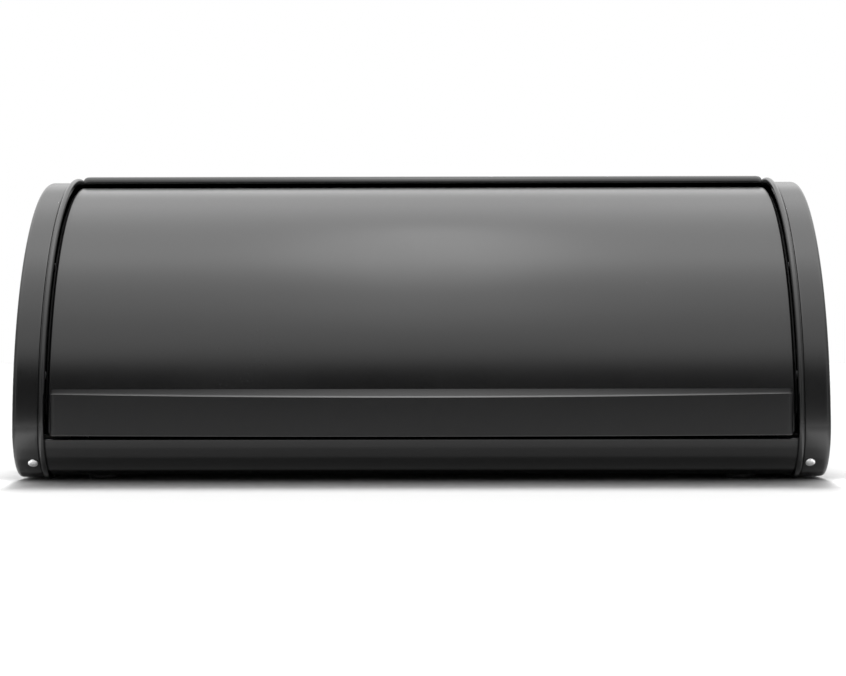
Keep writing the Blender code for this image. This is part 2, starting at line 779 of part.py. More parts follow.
def make_grip(lid):
    """The grip strip and the screws that hold it to the lid from inside."""
    inner = GRIP_HALF - GRIP_END_ROUND
    stations = [(-inner + 2 * inner * k / (GRIP_STATIONS - 1), 0.0) for k in range(GRIP_STATIONS)]
    for k in range(1, GRIP_END_STEPS + 1):
        turn = radians(90.0 * k / GRIP_END_STEPS)
        x = inner + GRIP_END_ROUND * sin(turn)
        inset = GRIP_END_ROUND * (1.0 - cos(turn))
        stations = [(-x, inset)] + stations + [(x, inset)]
    points = []
    rings = []
    for x, inset in stations:
        section = grip_section(x, inset)
        rings.append(list(range(len(points), len(points) + len(section))))
        points += [(x, y, z) for y, z in section]
    faces = ring_faces(rings) + [tuple(rings[0]), tuple(rings[-1])]
    grip = mesh_object("lid_handle", points, faces, "grip_black", PIVOT)
    inside = LID_RADIUS - SHEET
    turn = radians(SCREW_DEG)
    axis = (0.0, -cos(turn), sin(turn))
    for index, x in enumerate(SCREW_XS, 1):
        name = f"handle_screw_{index}"
        point = (x, PIVOT_Y + inside * axis[1], PIVOT_Z + inside * axis[2])
        profile = [
            (0.0, -SCREW_HEAD_THICK - CURVE_SEAT_GAP),
            (SCREW_HEAD - SCREW_CHAMFER, -SCREW_HEAD_THICK - CURVE_SEAT_GAP),
            (SCREW_HEAD, SCREW_CHAMFER - SCREW_HEAD_THICK - CURVE_SEAT_GAP),
            (SCREW_HEAD, -CURVE_SEAT_GAP),
            (SCREW_SHANK, -CURVE_SEAT_GAP),
            (SCREW_SHANK, SCREW_REACH - GAP),
            (0.0, SCREW_REACH - GAP),
        ]
        lathe(name, profile, point, axis, "dull_steel", PIVOT, steps=12)
        drill(name + "_hole_lid", lid, point, axis, SCREW_SHANK + GAP, -DRILL_BEYOND, SHEET + GRIP_SEAT)
        drill(name + "_hole_grip", grip, point, axis, SCREW_SHANK + SCREW_FIT, -DRILL_BEYOND, SCREW_REACH)


# ---- the whole bin -------------------------------------------------------------------------------
clear_scene()
BIN = new_collection("bread_bin", False)
CUTTERS = new_collection("cutters", True)
MADE = make_materials()

back_top = make_back_top_panel()
base_sheet = make_base_panel()
lid_sheet = make_lid_panel()
make_grip(lid_sheet)
make_seam_rivets(base_sheet, back_top)
for label, side in (("left", -1), ("right", 1)):
    end_cap = make_end_cap("end_cap_" + label, side)
    make_cap_rivets(side, label, end_cap, base_sheet, back_top)
    lid_arm = make_lid_arm("lid_arm_" + label, side)
    make_arm_rivets(side, label, lid_arm, lid_sheet)
    make_pivot(side, label)
    make_stop_pin("stop_pin_closed_" + label, side, 0.0, False)
    make_stop_pin("stop_pin_open_" + label, side, OPEN_TRAVEL_DEG, True)
    for place, foot_y in zip(("front", "rear"), FOOT_YS):
        make_foot(f"foot_{place}_{label}", side * FOOT_X, foot_y, base_sheet)
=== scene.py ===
"""Roll-top bread bin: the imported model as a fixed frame, with finely made sheets and materials on it.

The frame is in metres with +Z up and the front facing -Y. Shapes here are worked out in millimetres.
"""

import json
from math import asin, cos, degrees, hypot, pi, radians, sin, sqrt

import bmesh
import bpy
from mathutils import Matrix, Vector


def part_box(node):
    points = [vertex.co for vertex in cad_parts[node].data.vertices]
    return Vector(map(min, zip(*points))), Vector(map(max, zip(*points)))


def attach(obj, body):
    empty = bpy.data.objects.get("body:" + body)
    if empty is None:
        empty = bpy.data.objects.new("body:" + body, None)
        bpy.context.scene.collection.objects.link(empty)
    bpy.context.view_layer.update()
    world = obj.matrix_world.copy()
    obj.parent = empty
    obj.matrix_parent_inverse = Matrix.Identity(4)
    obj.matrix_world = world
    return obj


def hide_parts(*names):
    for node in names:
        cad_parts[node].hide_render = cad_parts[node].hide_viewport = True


MM = 0.001

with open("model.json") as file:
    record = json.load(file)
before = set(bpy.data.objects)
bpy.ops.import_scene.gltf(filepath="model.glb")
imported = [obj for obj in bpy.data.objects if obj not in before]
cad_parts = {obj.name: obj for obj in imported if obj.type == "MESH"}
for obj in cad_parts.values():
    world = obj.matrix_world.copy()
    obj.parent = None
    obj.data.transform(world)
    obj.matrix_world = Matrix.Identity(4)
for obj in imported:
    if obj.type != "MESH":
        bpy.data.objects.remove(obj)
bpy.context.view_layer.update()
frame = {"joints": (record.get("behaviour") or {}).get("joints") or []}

SHARP_DEG = 38.0
MERGE_DISTANCE = 1e-7
NO_LENGTH = 1e-9

# ---- sizes read from the frame ----
HINGE = frame["joints"][0]
PIVOT_Y = HINGE["pos_m"][1] / MM
PIVOT_Z = HINGE["pos_m"][2] / MM
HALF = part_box("end_cap_right")[1].x / MM
BEAD_INNER_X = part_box("end_cap_right")[0].x / MM
LID_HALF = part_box("lid_panel")[1].x / MM
SHEET_END_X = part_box("base_panel")[1].x / MM
LIP_TOP_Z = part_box("base_panel")[1].z / MM
BACK_LOW_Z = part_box("back_top_panel")[0].z / MM
TOP_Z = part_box("back_top_panel")[1].z / MM
PIN_END_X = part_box("pivot_pin_right")[0].x / MM
GRIP_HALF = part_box("lid_handle")[1].x / MM
GRIP_TOP_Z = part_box("lid_handle")[1].z / MM
GRIP_FRONT_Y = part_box("lid_handle")[0].y / MM

# ---- end caps ----
SHEET = 0.8
GAP = 0.3
SEAT_GAP = 0.05
CURVE_SEAT_GAP = 0.15
BEAD_PROUD = 2.6
BEAD_PROUD_BELOW = 1.2
SKIRT_RADIUS = 147.0
SKIRT_TOP = PIVOT_Z + SKIRT_RADIUS
SKIRT_BACK = 129.0
SKIRT_BOTTOM = 1.4
FRONT_CORNER = 28.5
REAR_TOP_CORNER = 24.0
REAR_BOTTOM_CORNER = 14.0
CAP_EDGE_RADIUS = 2.4
SKIRT_INNER_X = 207.6
# The fine groove along the bead's outer foot: distance from the bead, height.
BEAD_GROOVE = [
    (1.1, 0.0), (0.9, -0.08), (0.7, -0.28), (0.5, -0.36), (0.25, -0.36), (0.08, -0.22), (0.0, 0.05),
]
BEAD_STEPS = 12
BEAD_EASE = 0.2
CAP_EDGE_STEPS = 8
CAP_INNER_STEPS = 4
# A ring of points lies this far from each bend, on its flat side, to keep the bend's shading within it.
FLAT_MARGIN = 1.2
# Steps round the curves of a side outline.
FRONT_CORNER_STEPS = 24
FRONT_CURVE_STEPS = 84
REAR_TOP_STEPS = 20
REAR_BOTTOM_STEPS = 12
# At a sharp corner an offset is divided by no less than this, so that it doesn't run away.
LEAST_SPREAD = 0.3

# ---- body sheets ----
TUCK = SHEET + GAP
TWO_SHEETS = 2 * SHEET + GAP
STEP_INNER_X = 198.5
STEP_OUTER_X = 204.4
STEP_STATIONS = 14
STEP_SQUARENESS = 4
NOSE_Y = 14.0
NOSE_RADIUS = 4.2
NOSE_DROP = 0.4
NOSE_DROP_SHARE = 0.3
NOSE_STEPS = 16
TOP_SPACING = 20.0
PANEL_INNER_SHARE = 0.8
PANEL_BEND_STEPS = 24
BACK_MIDDLE_Z = 94.0
STRIP_TOP_Z = 23.3
STRIP_TURN_IN = 3.0
STRIP_BEND = 0.6
STRIP_BEND_STEPS = 10
STRIP_MARGIN = 0.6
BASE_CORNER_STEPS = 40
BASE_REAR_STEPS = 16

# ---- lid ----
LID_RADIUS = 143.8
LID_EDGE_RADIUS = 1.2
LID_FLANGE = 11.0
LID_LOW_DEG = 0.4
LID_HIGH_DEG = 93.0
LID_STEPS = 96
LID_CORNER = 2.5
LID_CORNER_STEPS = 12
LID_BEND_STEPS = 10
LID_TOP_STEPS = 4
LID_INNER_SHARE = 0.5
# The lid's sheet thins by this share at its very edge.
EDGE_PINCH = 0.9
EDGE_STEPS = 3
EDGE_DEG = 85.0

# ---- arms, pins, bushes, clips, stops ----
ARM_INNER_X = 203.8
ARM_THICK = 1.2
ARM_RADIUS = 141.8
ARM_BOSS_RADIUS = 13.0
BOSS_SPREAD_DEG = 62.0
ARM_LOW_DEG = 5.0
ARM_HIGH_DEG = 81.0
ARM_EASE = 0.25
ARM_STEPS = 48
BOSS_STEPS = 36
BUSH_START_X = ARM_INNER_X - GAP
BUSH_OUTER = 5.0
BUSH_FLANGE = 8.0
BUSH_FLANGE_THICK = 1.2
PIN_RADIUS = 3.0
PIN_EASE = 0.5
PIN_GROOVE = 1.0
RUNNING_CLEARANCE = 0.08
PIN_FLANGE_RADIUS = 9.0
PIN_FLANGE_THICK = 2.0
CLIP_RADIUS = 6.0
CLIP_THICK = 1.2
CLIP_GRIP = 0.9
STOP_RADIUS = 3.0
STOP_EASE = 0.6
STOP_FLANGE_RADIUS = 5.5
STOP_FLANGE_THICK = 1.5

# ---- grip ----
GRIP_BOTTOM_Z = 25.2
GRIP_BOTTOM_BOW = 0.6
FACET_AT_ENDS = 2.4
FACET_IN_MIDDLE = 4.5
GRIP_LEAN = 0.4
GRIP_LIP = 2.6
GRIP_GROOVE = 3.0
GRIP_TOP_EDGE = 0.3
GRIP_SEAT = 0.15
GRIP_STATIONS = 81
GRIP_END_ROUND = 3.0
GRIP_END_STEPS = 10
GRIP_END_PINCH = 0.15
GRIP_LIP_PINCH = 0.5
GRIP_CORNER_STEPS = 5
GRIP_BACK_STEPS = 8
# How far each corner of the grip's section is rounded, from its back at the top forwards and down.
GRIP_ROUNDS = (0.1, 0.3, 0.45, 0.7, 0.4, 0.6, 0.1)
GRIP_GLOSS = 0.28
# The painted highlight lines on the grip: their colour, height over the crease, and full and fading half
# widths.
HIGHLIGHT_LEVEL = 0.08
HIGHLIGHT_ABOVE_CREASE = 0.35
HIGHLIGHT_CORE = 0.3
HIGHLIGHT_EDGE = 0.6
# Painted highlight lines along the grip, at its crease and lower edge: height in the middle, and how much
# higher it is at the ends.
HIGHLIGHT_LINES = [
    (GRIP_TOP_Z - FACET_IN_MIDDLE + HIGHLIGHT_ABOVE_CREASE, FACET_IN_MIDDLE - FACET_AT_ENDS),
    (GRIP_BOTTOM_Z - GRIP_BOTTOM_BOW, GRIP_BOTTOM_BOW),
]

# ---- rivets, screws and feet ----
FRONT_RIVET_Z = 10.2
RIVET_HEAD = 2.8
RIVET_DOME = 1.3
RIVET_DOME_STEPS = 12
RIVET_EASE = 0.05
RIVET_SHANK = 1.3
RIVET_TAIL = 2.2
RIVET_TAIL_THICK = 1.0
ARM_RIVET_DOME = 0.9
SCREW_DEG = 5.5
SCREW_HEAD = 3.2
SCREW_HEAD_THICK = 1.7
SCREW_HEAD_EASE = (0.7, 0.6)
SCREW_RECESS = 0.7
SCREW_RECESS_RADIUS = (0.9, 1.1)
SCREW_SHANK = 1.4
SCREW_REACH = 4.3
FOOT_RADIUS = 8.0
FOOT_CHAMFER = 0.8
FOOT_EASE = 0.3
FOOT_STEM = 3.0
FOOT_BUTTON = 4.4
FOOT_BUTTON_THICK = 1.2
FOOT_BUTTON_CHAMFER = 0.6
ROUND_STEPS = 48
TURNED_EASE = 0.15
TURNED_EASE_STEPS = 3
# The largest share of a side that a rounded corner takes, on a turned profile and on the grip.
TURNED_EASE_MOST = 0.4
GRIP_ROUND_MOST = 0.45

# ---- camera, from the photograph's perspective ----
CAMERA_AT = (0.0095, -1.4375, 0.0781)
CAMERA_YAW = 0.0064
CAMERA_ROLL = -0.0016
CAMERA_LENS = 102.68
CAMERA_SENSOR = 36.0
CAMERA_CLIP = (0.05, 50.0)


# ---- mesh helpers ----
def ring_faces(rings, closed_up=False):
    """Quads between neighbouring closed rings; a ring of one point closes to that point."""
    faces = []
    pairs = list(zip(rings, rings[1:]))
    if closed_up:
        pairs.append((rings[-1], rings[0]))
    for first, second in pairs:
        count = max(len(first), len(second))
        for k in range(count):
            corners = [first[k % len(first)], first[(k + 1) % len(first)]]
            corners += [second[(k + 1) % len(second)], second[k % len(second)]]
            faces.append(tuple(dict.fromkeys(corners)))
    return faces


def make_piece(name, shape, finish, body):
    """A smooth-shaded mesh of the shape, which stands for the CAD node of this name and rides on a body.

    finish is the material and the material slot of the CAD node; the slot is not used.
    """
    material, slot = finish
    mesh = bpy.data.meshes.new(name + "_fine")
    mesh.from_pydata([tuple(value * MM for value in point) for point in shape.points], [], shape.faces)
    work = bmesh.new()
    work.from_mesh(mesh)
    bmesh.ops.remove_doubles(work, verts=work.verts, dist=MERGE_DISTANCE)
    bmesh.ops.recalc_face_normals(work, faces=work.faces)
    work.to_mesh(mesh)
    work.free()
    mesh.shade_smooth()
    mesh.set_sharp_from_angle(angle=radians(SHARP_DEG))
    mesh.materials.append(material)
    obj = bpy.data.objects.new(name + "_fine", mesh)
    bpy.context.scene.collection.objects.link(obj)
    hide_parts(name)
    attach(obj, body)


class Shape:
    """Points, in millimetres, and faces gathered ring by ring."""

    def __init__(self):
        self.points = []
        self.rings = []
        self.faces = []

    def ring(self, points):
        start = len(self.points)
        self.points += points
        self.rings.append(list(range(start, len(self.points))))

    def slice(self, x, outline):
        """A ring across x from the outline's (y, z) points."""
        self.ring([(x, y, z) for y, z in outline])

    def loft_strip(self):
        """Joins the rings of a folded strip and closes each end with quads across its thickness."""
        self.faces += ring_faces(self.rings)
        for ring in (self.rings[0], self.rings[-1]):
            count = len(ring)
            for k in range(count // 2 - 1):
                quad = (ring[k], ring[k + 1], ring[count - 2 - k], ring[count - 1 - k])
                self.faces.append(quad)

    def loft_plate(self):
        """Joins the rings and closes the first and the last with one face each."""
        self.faces += ring_faces(self.rings)
        self.faces.append(tuple(self.rings[0]))
        self.faces.append(tuple(self.rings[-1]))


def turned_shape(profile, centre, axis, closed=False):
    """A turned solid or ring: profile is (radius, height) along axis from centre."""
    along = Vector(axis).normalized()
    helper = Vector((0.0, 0.0, 1.0)) if abs(along.z) < 0.9 else Vector((1.0, 0.0, 0.0))
    side = helper.cross(along).normalized()
    other = along.cross(side)
    shape = Shape()
    for radius, height in profile:
        base = Vector(centre) + along * height
        if radius == 0.0:
            shape.ring([tuple(base)])
            continue
        ring = []
        for k in range(ROUND_STEPS):
            turn = 2 * pi * k / ROUND_STEPS
            ring.append(tuple(base + radius * (cos(turn) * side + sin(turn) * other)))
        shape.ring(ring)
    shape.faces += ring_faces(shape.rings, closed_up=closed)
    return shape


def cut_corner(before, here, after, reach, most, steps):
    """A short curve past the corner at here; most is the largest share of either side it may take."""
    corner = Vector(here)
    first = Vector(before) - corner
    second = Vector(after) - corner
    reach = min(reach, first.length * most, second.length * most)
    start = corner + first.normalized() * reach
    end = corner + second.normalized() * reach
    curve = []
    for k in range(steps + 1):
        t = k / steps
        curve.append(tuple(start * (1 - t) ** 2 + corner * 2 * t * (1 - t) + end * t**2))
    return curve


def eased(profile, ease):
    """The profile with each of its inner corners rounded a little, so that edges catch the light."""
    found = [profile[0]]
    for before, here, after in zip(profile, profile[1:], profile[2:]):
        found += cut_corner(before, here, after, ease, TURNED_EASE_MOST, TURNED_EASE_STEPS)
    found.append(profile[-1])
    return found


def turned(name, profile, centre, axis, finish, body, ease=TURNED_EASE, closed=False):
    """A turned piece that stands for the CAD node of this name."""
    if closed:
        profile = eased([profile[-1]] + profile + [profile[0]], ease)[1:-1]
    else:
        profile = eased(profile, ease)
    shape = turned_shape(profile, centre, axis, closed=closed)
    make_piece(name, shape, finish, body)


# ---- side outlines, as (y, z) points ----
def turns(start_deg, end_deg, steps):
    """Evenly spaced angles in radians, with both ends."""
    return [radians(start_deg + (end_deg - start_deg) * k / steps) for k in range(steps + 1)]


def arc(centre, radius, start_deg, end_deg, steps):
    """Points on a circle; angles run from straight ahead (-Y) upwards."""
    found = []
    for turn in turns(start_deg, end_deg, steps):
        found.append((centre[0] - radius * cos(turn), centre[1] + radius * sin(turn)))
    return found


def on_circle(radius, turn_deg):
    turn = radians(turn_deg)
    return PIVOT_Y - radius * cos(turn), PIVOT_Z + radius * sin(turn)


def front_corner(bottom, radius, corner):
    """Centre of the low front corner and the angle at which it meets the main front curve."""
    centre_z = bottom + corner
    meet = asin((centre_z - PIVOT_Z) / (radius - corner))
    return (PIVOT_Y - (radius - corner) * cos(meet), centre_z), degrees(meet)


def cap_outline(offset):
    """The closed D of an end cap, offset outwards by this much."""
    below = BEAD_PROUD_BELOW / BEAD_PROUD if offset > 0 else 1.0
    bottom = SKIRT_BOTTOM - offset * below
    radius = SKIRT_RADIUS + offset
    corner = FRONT_CORNER + offset
    centre, meet = front_corner(bottom, radius, corner)
    back = SKIRT_BACK + offset
    top = PIVOT_Z + radius
    high = REAR_TOP_CORNER + offset
    low = REAR_BOTTOM_CORNER + offset
    path = arc(centre, corner, -90.0, meet, FRONT_CORNER_STEPS)
    path += arc((PIVOT_Y, PIVOT_Z), radius, meet, 90.0, FRONT_CURVE_STEPS)[1:]
    path += [(PIVOT_Y + FLAT_MARGIN, top), (back - high - FLAT_MARGIN, top)]
    path += arc((back - high, top - high), high, 90.0, 180.0, REAR_TOP_STEPS)
    path += [(back, top - high - FLAT_MARGIN), (back, bottom + low + FLAT_MARGIN)]
    path += arc((back - low, bottom + low), low, 180.0, 270.0, REAR_BOTTOM_STEPS)
    return path + [(back - low - FLAT_MARGIN, bottom), (centre[0] + FLAT_MARGIN, bottom)]


def unit(start, end):
    """The direction from start to end, or None where they are the same point."""
    size = hypot(end[0] - start[0], end[1] - start[1])
    if size < NO_LENGTH:
        return None
    return ((end[0] - start[0]) / size, (end[1] - start[1]) / size)


def normals_of(path, closed=False):
    """(normal, spread) at each point, the normal to the left of the path's direction.

    spread is the cosine of half the path's turn there, by which an offset is divided.
    """
    count = len(path)
    found = []
    for index, here in enumerate(path):
        before = path[index - 1] if closed or index else here
        after = path[(index + 1) % count] if closed or index + 1 < count else here
        first = unit(before, here) or unit(here, after)
        second = unit(here, after) or first
        normal = (-(first[1] + second[1]), first[0] + second[0])
        size = hypot(*normal)
        normal = (normal[0] / size, normal[1] / size)
        spread = max(normal[1] * first[0] - normal[0] * first[1], LEAST_SPREAD)
        found.append((normal, spread))
    return found


def offset_path(path, amount, closed=False):
    moved = []
    for (y, z), (normal, spread) in zip(path, normals_of(path, closed)):
        moved.append((y + normal[0] * amount / spread, z + normal[1] * amount / spread))
    return moved


def thick_loop(path, thickness):
    """The closed section of a bent sheet with rounded edges, from its centre line."""
    half = thickness / 2
    outer = offset_path(path, half)
    inner = offset_path(path, -half)
    first = unit(path[0], path[1])
    last = unit(path[-2], path[-1])
    lead = [rounded_end(path[0], (-first[0], -first[1]), outer[0], half, k) for k in range(EDGE_STEPS)]
    tail = [rounded_end(path[-1], last, outer[-1], half, k) for k in range(EDGE_STEPS)]
    lead_in = [mirror_over(point, path[0], first) for point in lead]
    tail_in = [mirror_over(point, path[-1], last) for point in tail]
    lead.reverse()
    lead_in.reverse()
    outer = lead + outer[1:-1] + tail
    inner = lead_in + inner[1:-1] + tail_in
    return outer + inner[::-1]


def rounded_end(end, outwards, edge, half, step):
    """A point on the half round edge of a sheet, step 0 beside the flat."""
    turn = radians(EDGE_DEG * step / (EDGE_STEPS - 1))
    side = ((edge[0] - end[0]) / half, (edge[1] - end[1]) / half)
    along = half * (sin(turn) - 1.0)
    across = half * cos(turn)
    return (
        end[0] + outwards[0] * along + side[0] * across,
        end[1] + outwards[1] * along + side[1] * across,
    )


def mirror_over(point, origin, direction):
    """The point's mirror image in the line through origin along direction."""
    offset = (point[0] - origin[0], point[1] - origin[1])
    along = offset[0] * direction[0] + offset[1] * direction[1]
    return (
        origin[0] + 2 * along * direction[0] - offset[0],
        origin[1] + 2 * along * direction[1] - offset[1],
    )


# ---- materials ----
# Scales are noise features a metre and depths are metres; the rest are shader values.
NOISE_RANGE = (0.3, 0.7)
IOR = 1.5
COAT_CLOUD = 14.0
COAT_CLOUD_ROUGH = 0.02
COAT_FINE = 900.0
COAT_FINE_ROUGH = 0.015
COAT_FINE_SHARE = 0.35
COAT_PEEL = 420.0
COAT_DEPTH = 0.00004
PLASTIC_CLOUD = 30.0
PLASTIC_CLOUD_ROUGH = 0.02
PLASTIC_FINE = 2400.0
PLASTIC_FINE_ROUGH = 0.03
PLASTIC_DEPTH = 0.00002
STEEL_CLOUD = 260.0
STEEL_MARKS = 3200.0
STEEL_STRETCH = (1.0, 0.15, 1.0)
STEEL_SMOOTHER = 0.06
STEEL_ROUGHER = 0.08
STEEL_DEPTH = 0.00001
TARNISH_RANGE = (0.35, 0.75)
SCUFF_RANGE = (0.6, 1.4)
RUBBER_CLOUD = 180.0
RUBBER_FINE = 3000.0
RUBBER_ROUGH = (0.72, 0.86)
RUBBER_GRAIN = 0.35
RUBBER_DEPTH = 0.00003


class Tree:
    """Short ways to add and join the nodes of a tree."""

    ramp = "LINEAR"

    def __init__(self, tree):
        self.tree = tree

    def add(self, kind, **settings):
        node = self.tree.nodes.new(kind)
        for key, value in settings.items():
            setattr(node, key, value)
        return node

    def join(self, output, socket):
        self.tree.links.new(output, socket)

    def math(self, operation, first, second=None, clamp=False):
        node = self.add("ShaderNodeMath", operation=operation, use_clamp=clamp)
        for socket, value in zip(node.inputs, (first, second)):
            if isinstance(value, float):
                socket.default_value = value
            elif value is not None:
                self.join(value, socket)
        return node.outputs["Value"]

    def span(self, value, low, high, out_low, out_high):
        """The value carried over from low..high to out_low..out_high, along the tree's kind of ramp."""
        node = self.add("ShaderNodeMapRange", interpolation_type=self.ramp)
        self.join(value, node.inputs["Value"])
        ends = {"From Min": low, "From Max": high, "To Min": out_low, "To Max": out_high}
        for key, number in ends.items():
            node.inputs[key].default_value = number
        return node.outputs["Result"]


class Nodes(Tree):
    """The nodes of a material."""

    def __init__(self, name):
        self.material = bpy.data.materials.new(name)
        self.material.use_nodes = True
        super().__init__(self.material.node_tree)
        self.shader = self.tree.nodes["Principled BSDF"]
        self.place = self.add("ShaderNodeTexCoord").outputs["Object"]

    def noise(self, scale, detail=3.0, roughness=0.55, stretch=(1.0, 1.0, 1.0)):
        """Noise of this many features a metre, drawn out along an axis where stretch is below 1."""
        mapping = self.add("ShaderNodeMapping")
        mapping.inputs["Scale"].default_value = stretch
        self.join(self.place, mapping.inputs["Vector"])
        noise = self.add("ShaderNodeTexNoise")
        noise.inputs["Scale"].default_value = scale
        noise.inputs["Detail"].default_value = detail
        noise.inputs["Roughness"].default_value = roughness
        self.join(mapping.outputs["Vector"], noise.inputs["Vector"])
        return noise.outputs["Fac"]

    def blend(self, factor, first, second):
        mix = self.add("ShaderNodeMix", data_type="RGBA")
        self.join(factor, mix.inputs["Factor"])
        mix.inputs["A"].default_value = (*first, 1.0)
        mix.inputs["B"].default_value = (*second, 1.0)
        return mix.outputs["Result"]

    def sum(self, first, second):
        return self.math("ADD", first, second)

    def tone(self, factor, dark, light):
        self.join(self.blend(factor, dark, light), self.shader.inputs["Base Color"])

    def rough(self, value):
        self.join(value, self.shader.inputs["Roughness"])

    def bump(self, height, strength, distance):
        bump = self.add("ShaderNodeBump")
        bump.inputs["Strength"].default_value = strength
        bump.inputs["Distance"].default_value = distance
        self.join(height, bump.inputs["Height"])
        self.join(bump.outputs["Normal"], self.shader.inputs["Normal"])

    def set(self, **values):
        for key, value in values.items():
            self.shader.inputs[key.replace("_", " ")].default_value = value


def powder_coat(name, dark, light, rough, peel):
    """Matt black powder coat: fine orange peel, cloudy sheen and a faint change of tone."""
    nodes = Nodes(name)
    cloud = nodes.noise(COAT_CLOUD, detail=4.0)
    fine = nodes.noise(COAT_FINE, detail=2.0)
    nodes.tone(nodes.span(cloud, *NOISE_RANGE, 0.0, 1.0), dark, light)
    cloudy = nodes.span(cloud, *NOISE_RANGE, rough - COAT_CLOUD_ROUGH, rough + COAT_CLOUD_ROUGH)
    grainy = nodes.span(fine, *NOISE_RANGE, -COAT_FINE_ROUGH, COAT_FINE_ROUGH)
    nodes.rough(nodes.sum(cloudy, grainy))
    orange_peel = nodes.noise(COAT_PEEL, detail=3.0)
    nodes.bump(nodes.sum(orange_peel, nodes.span(fine, 0.0, 1.0, 0.0, COAT_FINE_SHARE)), peel, COAT_DEPTH)
    nodes.set(IOR=IOR)
    return nodes.material


def moulded_plastic(name, dark, light, rough, grain):
    """Matt moulded plastic with a fine spark-eroded grain."""
    nodes = Nodes(name)
    cloud = nodes.noise(PLASTIC_CLOUD, detail=3.0)
    fine = nodes.noise(PLASTIC_FINE, detail=2.0)
    nodes.tone(nodes.span(cloud, *NOISE_RANGE, 0.0, 1.0), dark, light)
    grainy = nodes.span(fine, *NOISE_RANGE, rough - PLASTIC_FINE_ROUGH, rough + PLASTIC_FINE_ROUGH)
    cloudy = nodes.span(cloud, *NOISE_RANGE, -PLASTIC_CLOUD_ROUGH, PLASTIC_CLOUD_ROUGH)
    nodes.rough(nodes.sum(grainy, cloudy))
    nodes.bump(fine, grain, PLASTIC_DEPTH)
    nodes.set(IOR=IOR)
    return nodes


def grip_plastic():
    """The grip's plastic: dull, with a painted highlight along the crease under its bevel and along the
    lower edge.
    """
    dark, light = (0.0050, 0.0050, 0.0052), (0.0062, 0.0062, 0.0064)
    nodes = moulded_plastic("grip_black_fine", dark, light, 0.36, 0.10)
    split = nodes.add("ShaderNodeSeparateXYZ")
    nodes.join(nodes.place, split.inputs["Vector"])
    across = nodes.math("MULTIPLY", split.outputs["X"], split.outputs["X"])
    lines = []
    for middle_z, ends_rise in HIGHLIGHT_LINES:
        curve = nodes.math("MULTIPLY", across, ends_rise / (GRIP_HALF**2 * MM))
        above = nodes.math("SUBTRACT", split.outputs["Z"], curve)
        off_line = nodes.math("ABSOLUTE", nodes.math("SUBTRACT", above, middle_z * MM))
        lines.append(nodes.span(off_line, HIGHLIGHT_CORE * MM, HIGHLIGHT_EDGE * MM, 1.0, 0.0))
    # The painted highlight: along these lines the base colour is raised and the grip made metallic, so
    # they shine.
    painted_highlight = nodes.math("MAXIMUM", *lines)
    colour = nodes.shader.inputs["Base Color"]
    mix = nodes.add("ShaderNodeMix", data_type="RGBA")
    nodes.join(painted_highlight, mix.inputs["Factor"])
    nodes.join(colour.links[0].from_socket, mix.inputs["A"])
    mix.inputs["B"].default_value = (HIGHLIGHT_LEVEL, HIGHLIGHT_LEVEL, HIGHLIGHT_LEVEL, 1.0)
    nodes.join(mix.outputs["Result"], colour)
    nodes.join(painted_highlight, nodes.shader.inputs["Metallic"])
    nodes.set(Specular_IOR_Level=GRIP_GLOSS)
    return nodes.material


def steel(name, dark, light, rough, brush):
    """Bare steel with turning marks, small scuffs and a little tarnish."""
    nodes = Nodes(name)
    cloud = nodes.noise(STEEL_CLOUD, detail=4.0)
    marks = nodes.noise(STEEL_MARKS, detail=2.0, stretch=STEEL_STRETCH)
    nodes.tone(nodes.span(cloud, *TARNISH_RANGE, 0.0, 1.0), dark, light)
    smoothest, roughest = rough - STEEL_SMOOTHER, rough + STEEL_ROUGHER
    nodes.rough(nodes.span(nodes.sum(cloud, marks), *SCUFF_RANGE, smoothest, roughest))
    nodes.bump(marks, brush, STEEL_DEPTH)
    nodes.set(Metallic=1.0)
    return nodes.material


def rubber(name, dark, light):
    """Dull moulded rubber."""
    nodes = Nodes(name)
    cloud = nodes.noise(RUBBER_CLOUD, detail=4.0)
    fine = nodes.noise(RUBBER_FINE)
    nodes.tone(nodes.span(cloud, *NOISE_RANGE, 0.0, 1.0), dark, light)
    nodes.rough(nodes.span(fine, *NOISE_RANGE, *RUBBER_ROUGH))
    nodes.bump(fine, RUBBER_GRAIN, RUBBER_DEPTH)
    nodes.set(IOR=IOR)
    return nodes.material


# The finishes: each is a material and its slot. Colours run from dark to light.
COAT = (
    powder_coat("coat_black", (0.0032, 0.0032, 0.0033), (0.0042, 0.0042, 0.0043), 0.24, 0.10),
    "sheet_black",
)
GRIP = (grip_plastic(), "grip_black")
BRIGHT = (steel("bright_steel_fine", (0.66, 0.66, 0.66), (0.78, 0.78, 0.78), 0.24, 0.15), "bright_steel")
DULL = (steel("dull_steel_fine", (0.34, 0.34, 0.35), (0.46, 0.46, 0.47), 0.38, 0.4), "dull_steel")
RUBBER = (rubber("foot_rubber_fine", (0.012, 0.012, 0.012), (0.022, 0.022, 0.021)), "foot_rubber")
BUSH = (
    moulded_plastic("bush_plastic_fine", (0.50, 0.49, 0.46), (0.58, 0.57, 0.54), 0.45, 0.2).material,
    "bush_plastic",
)


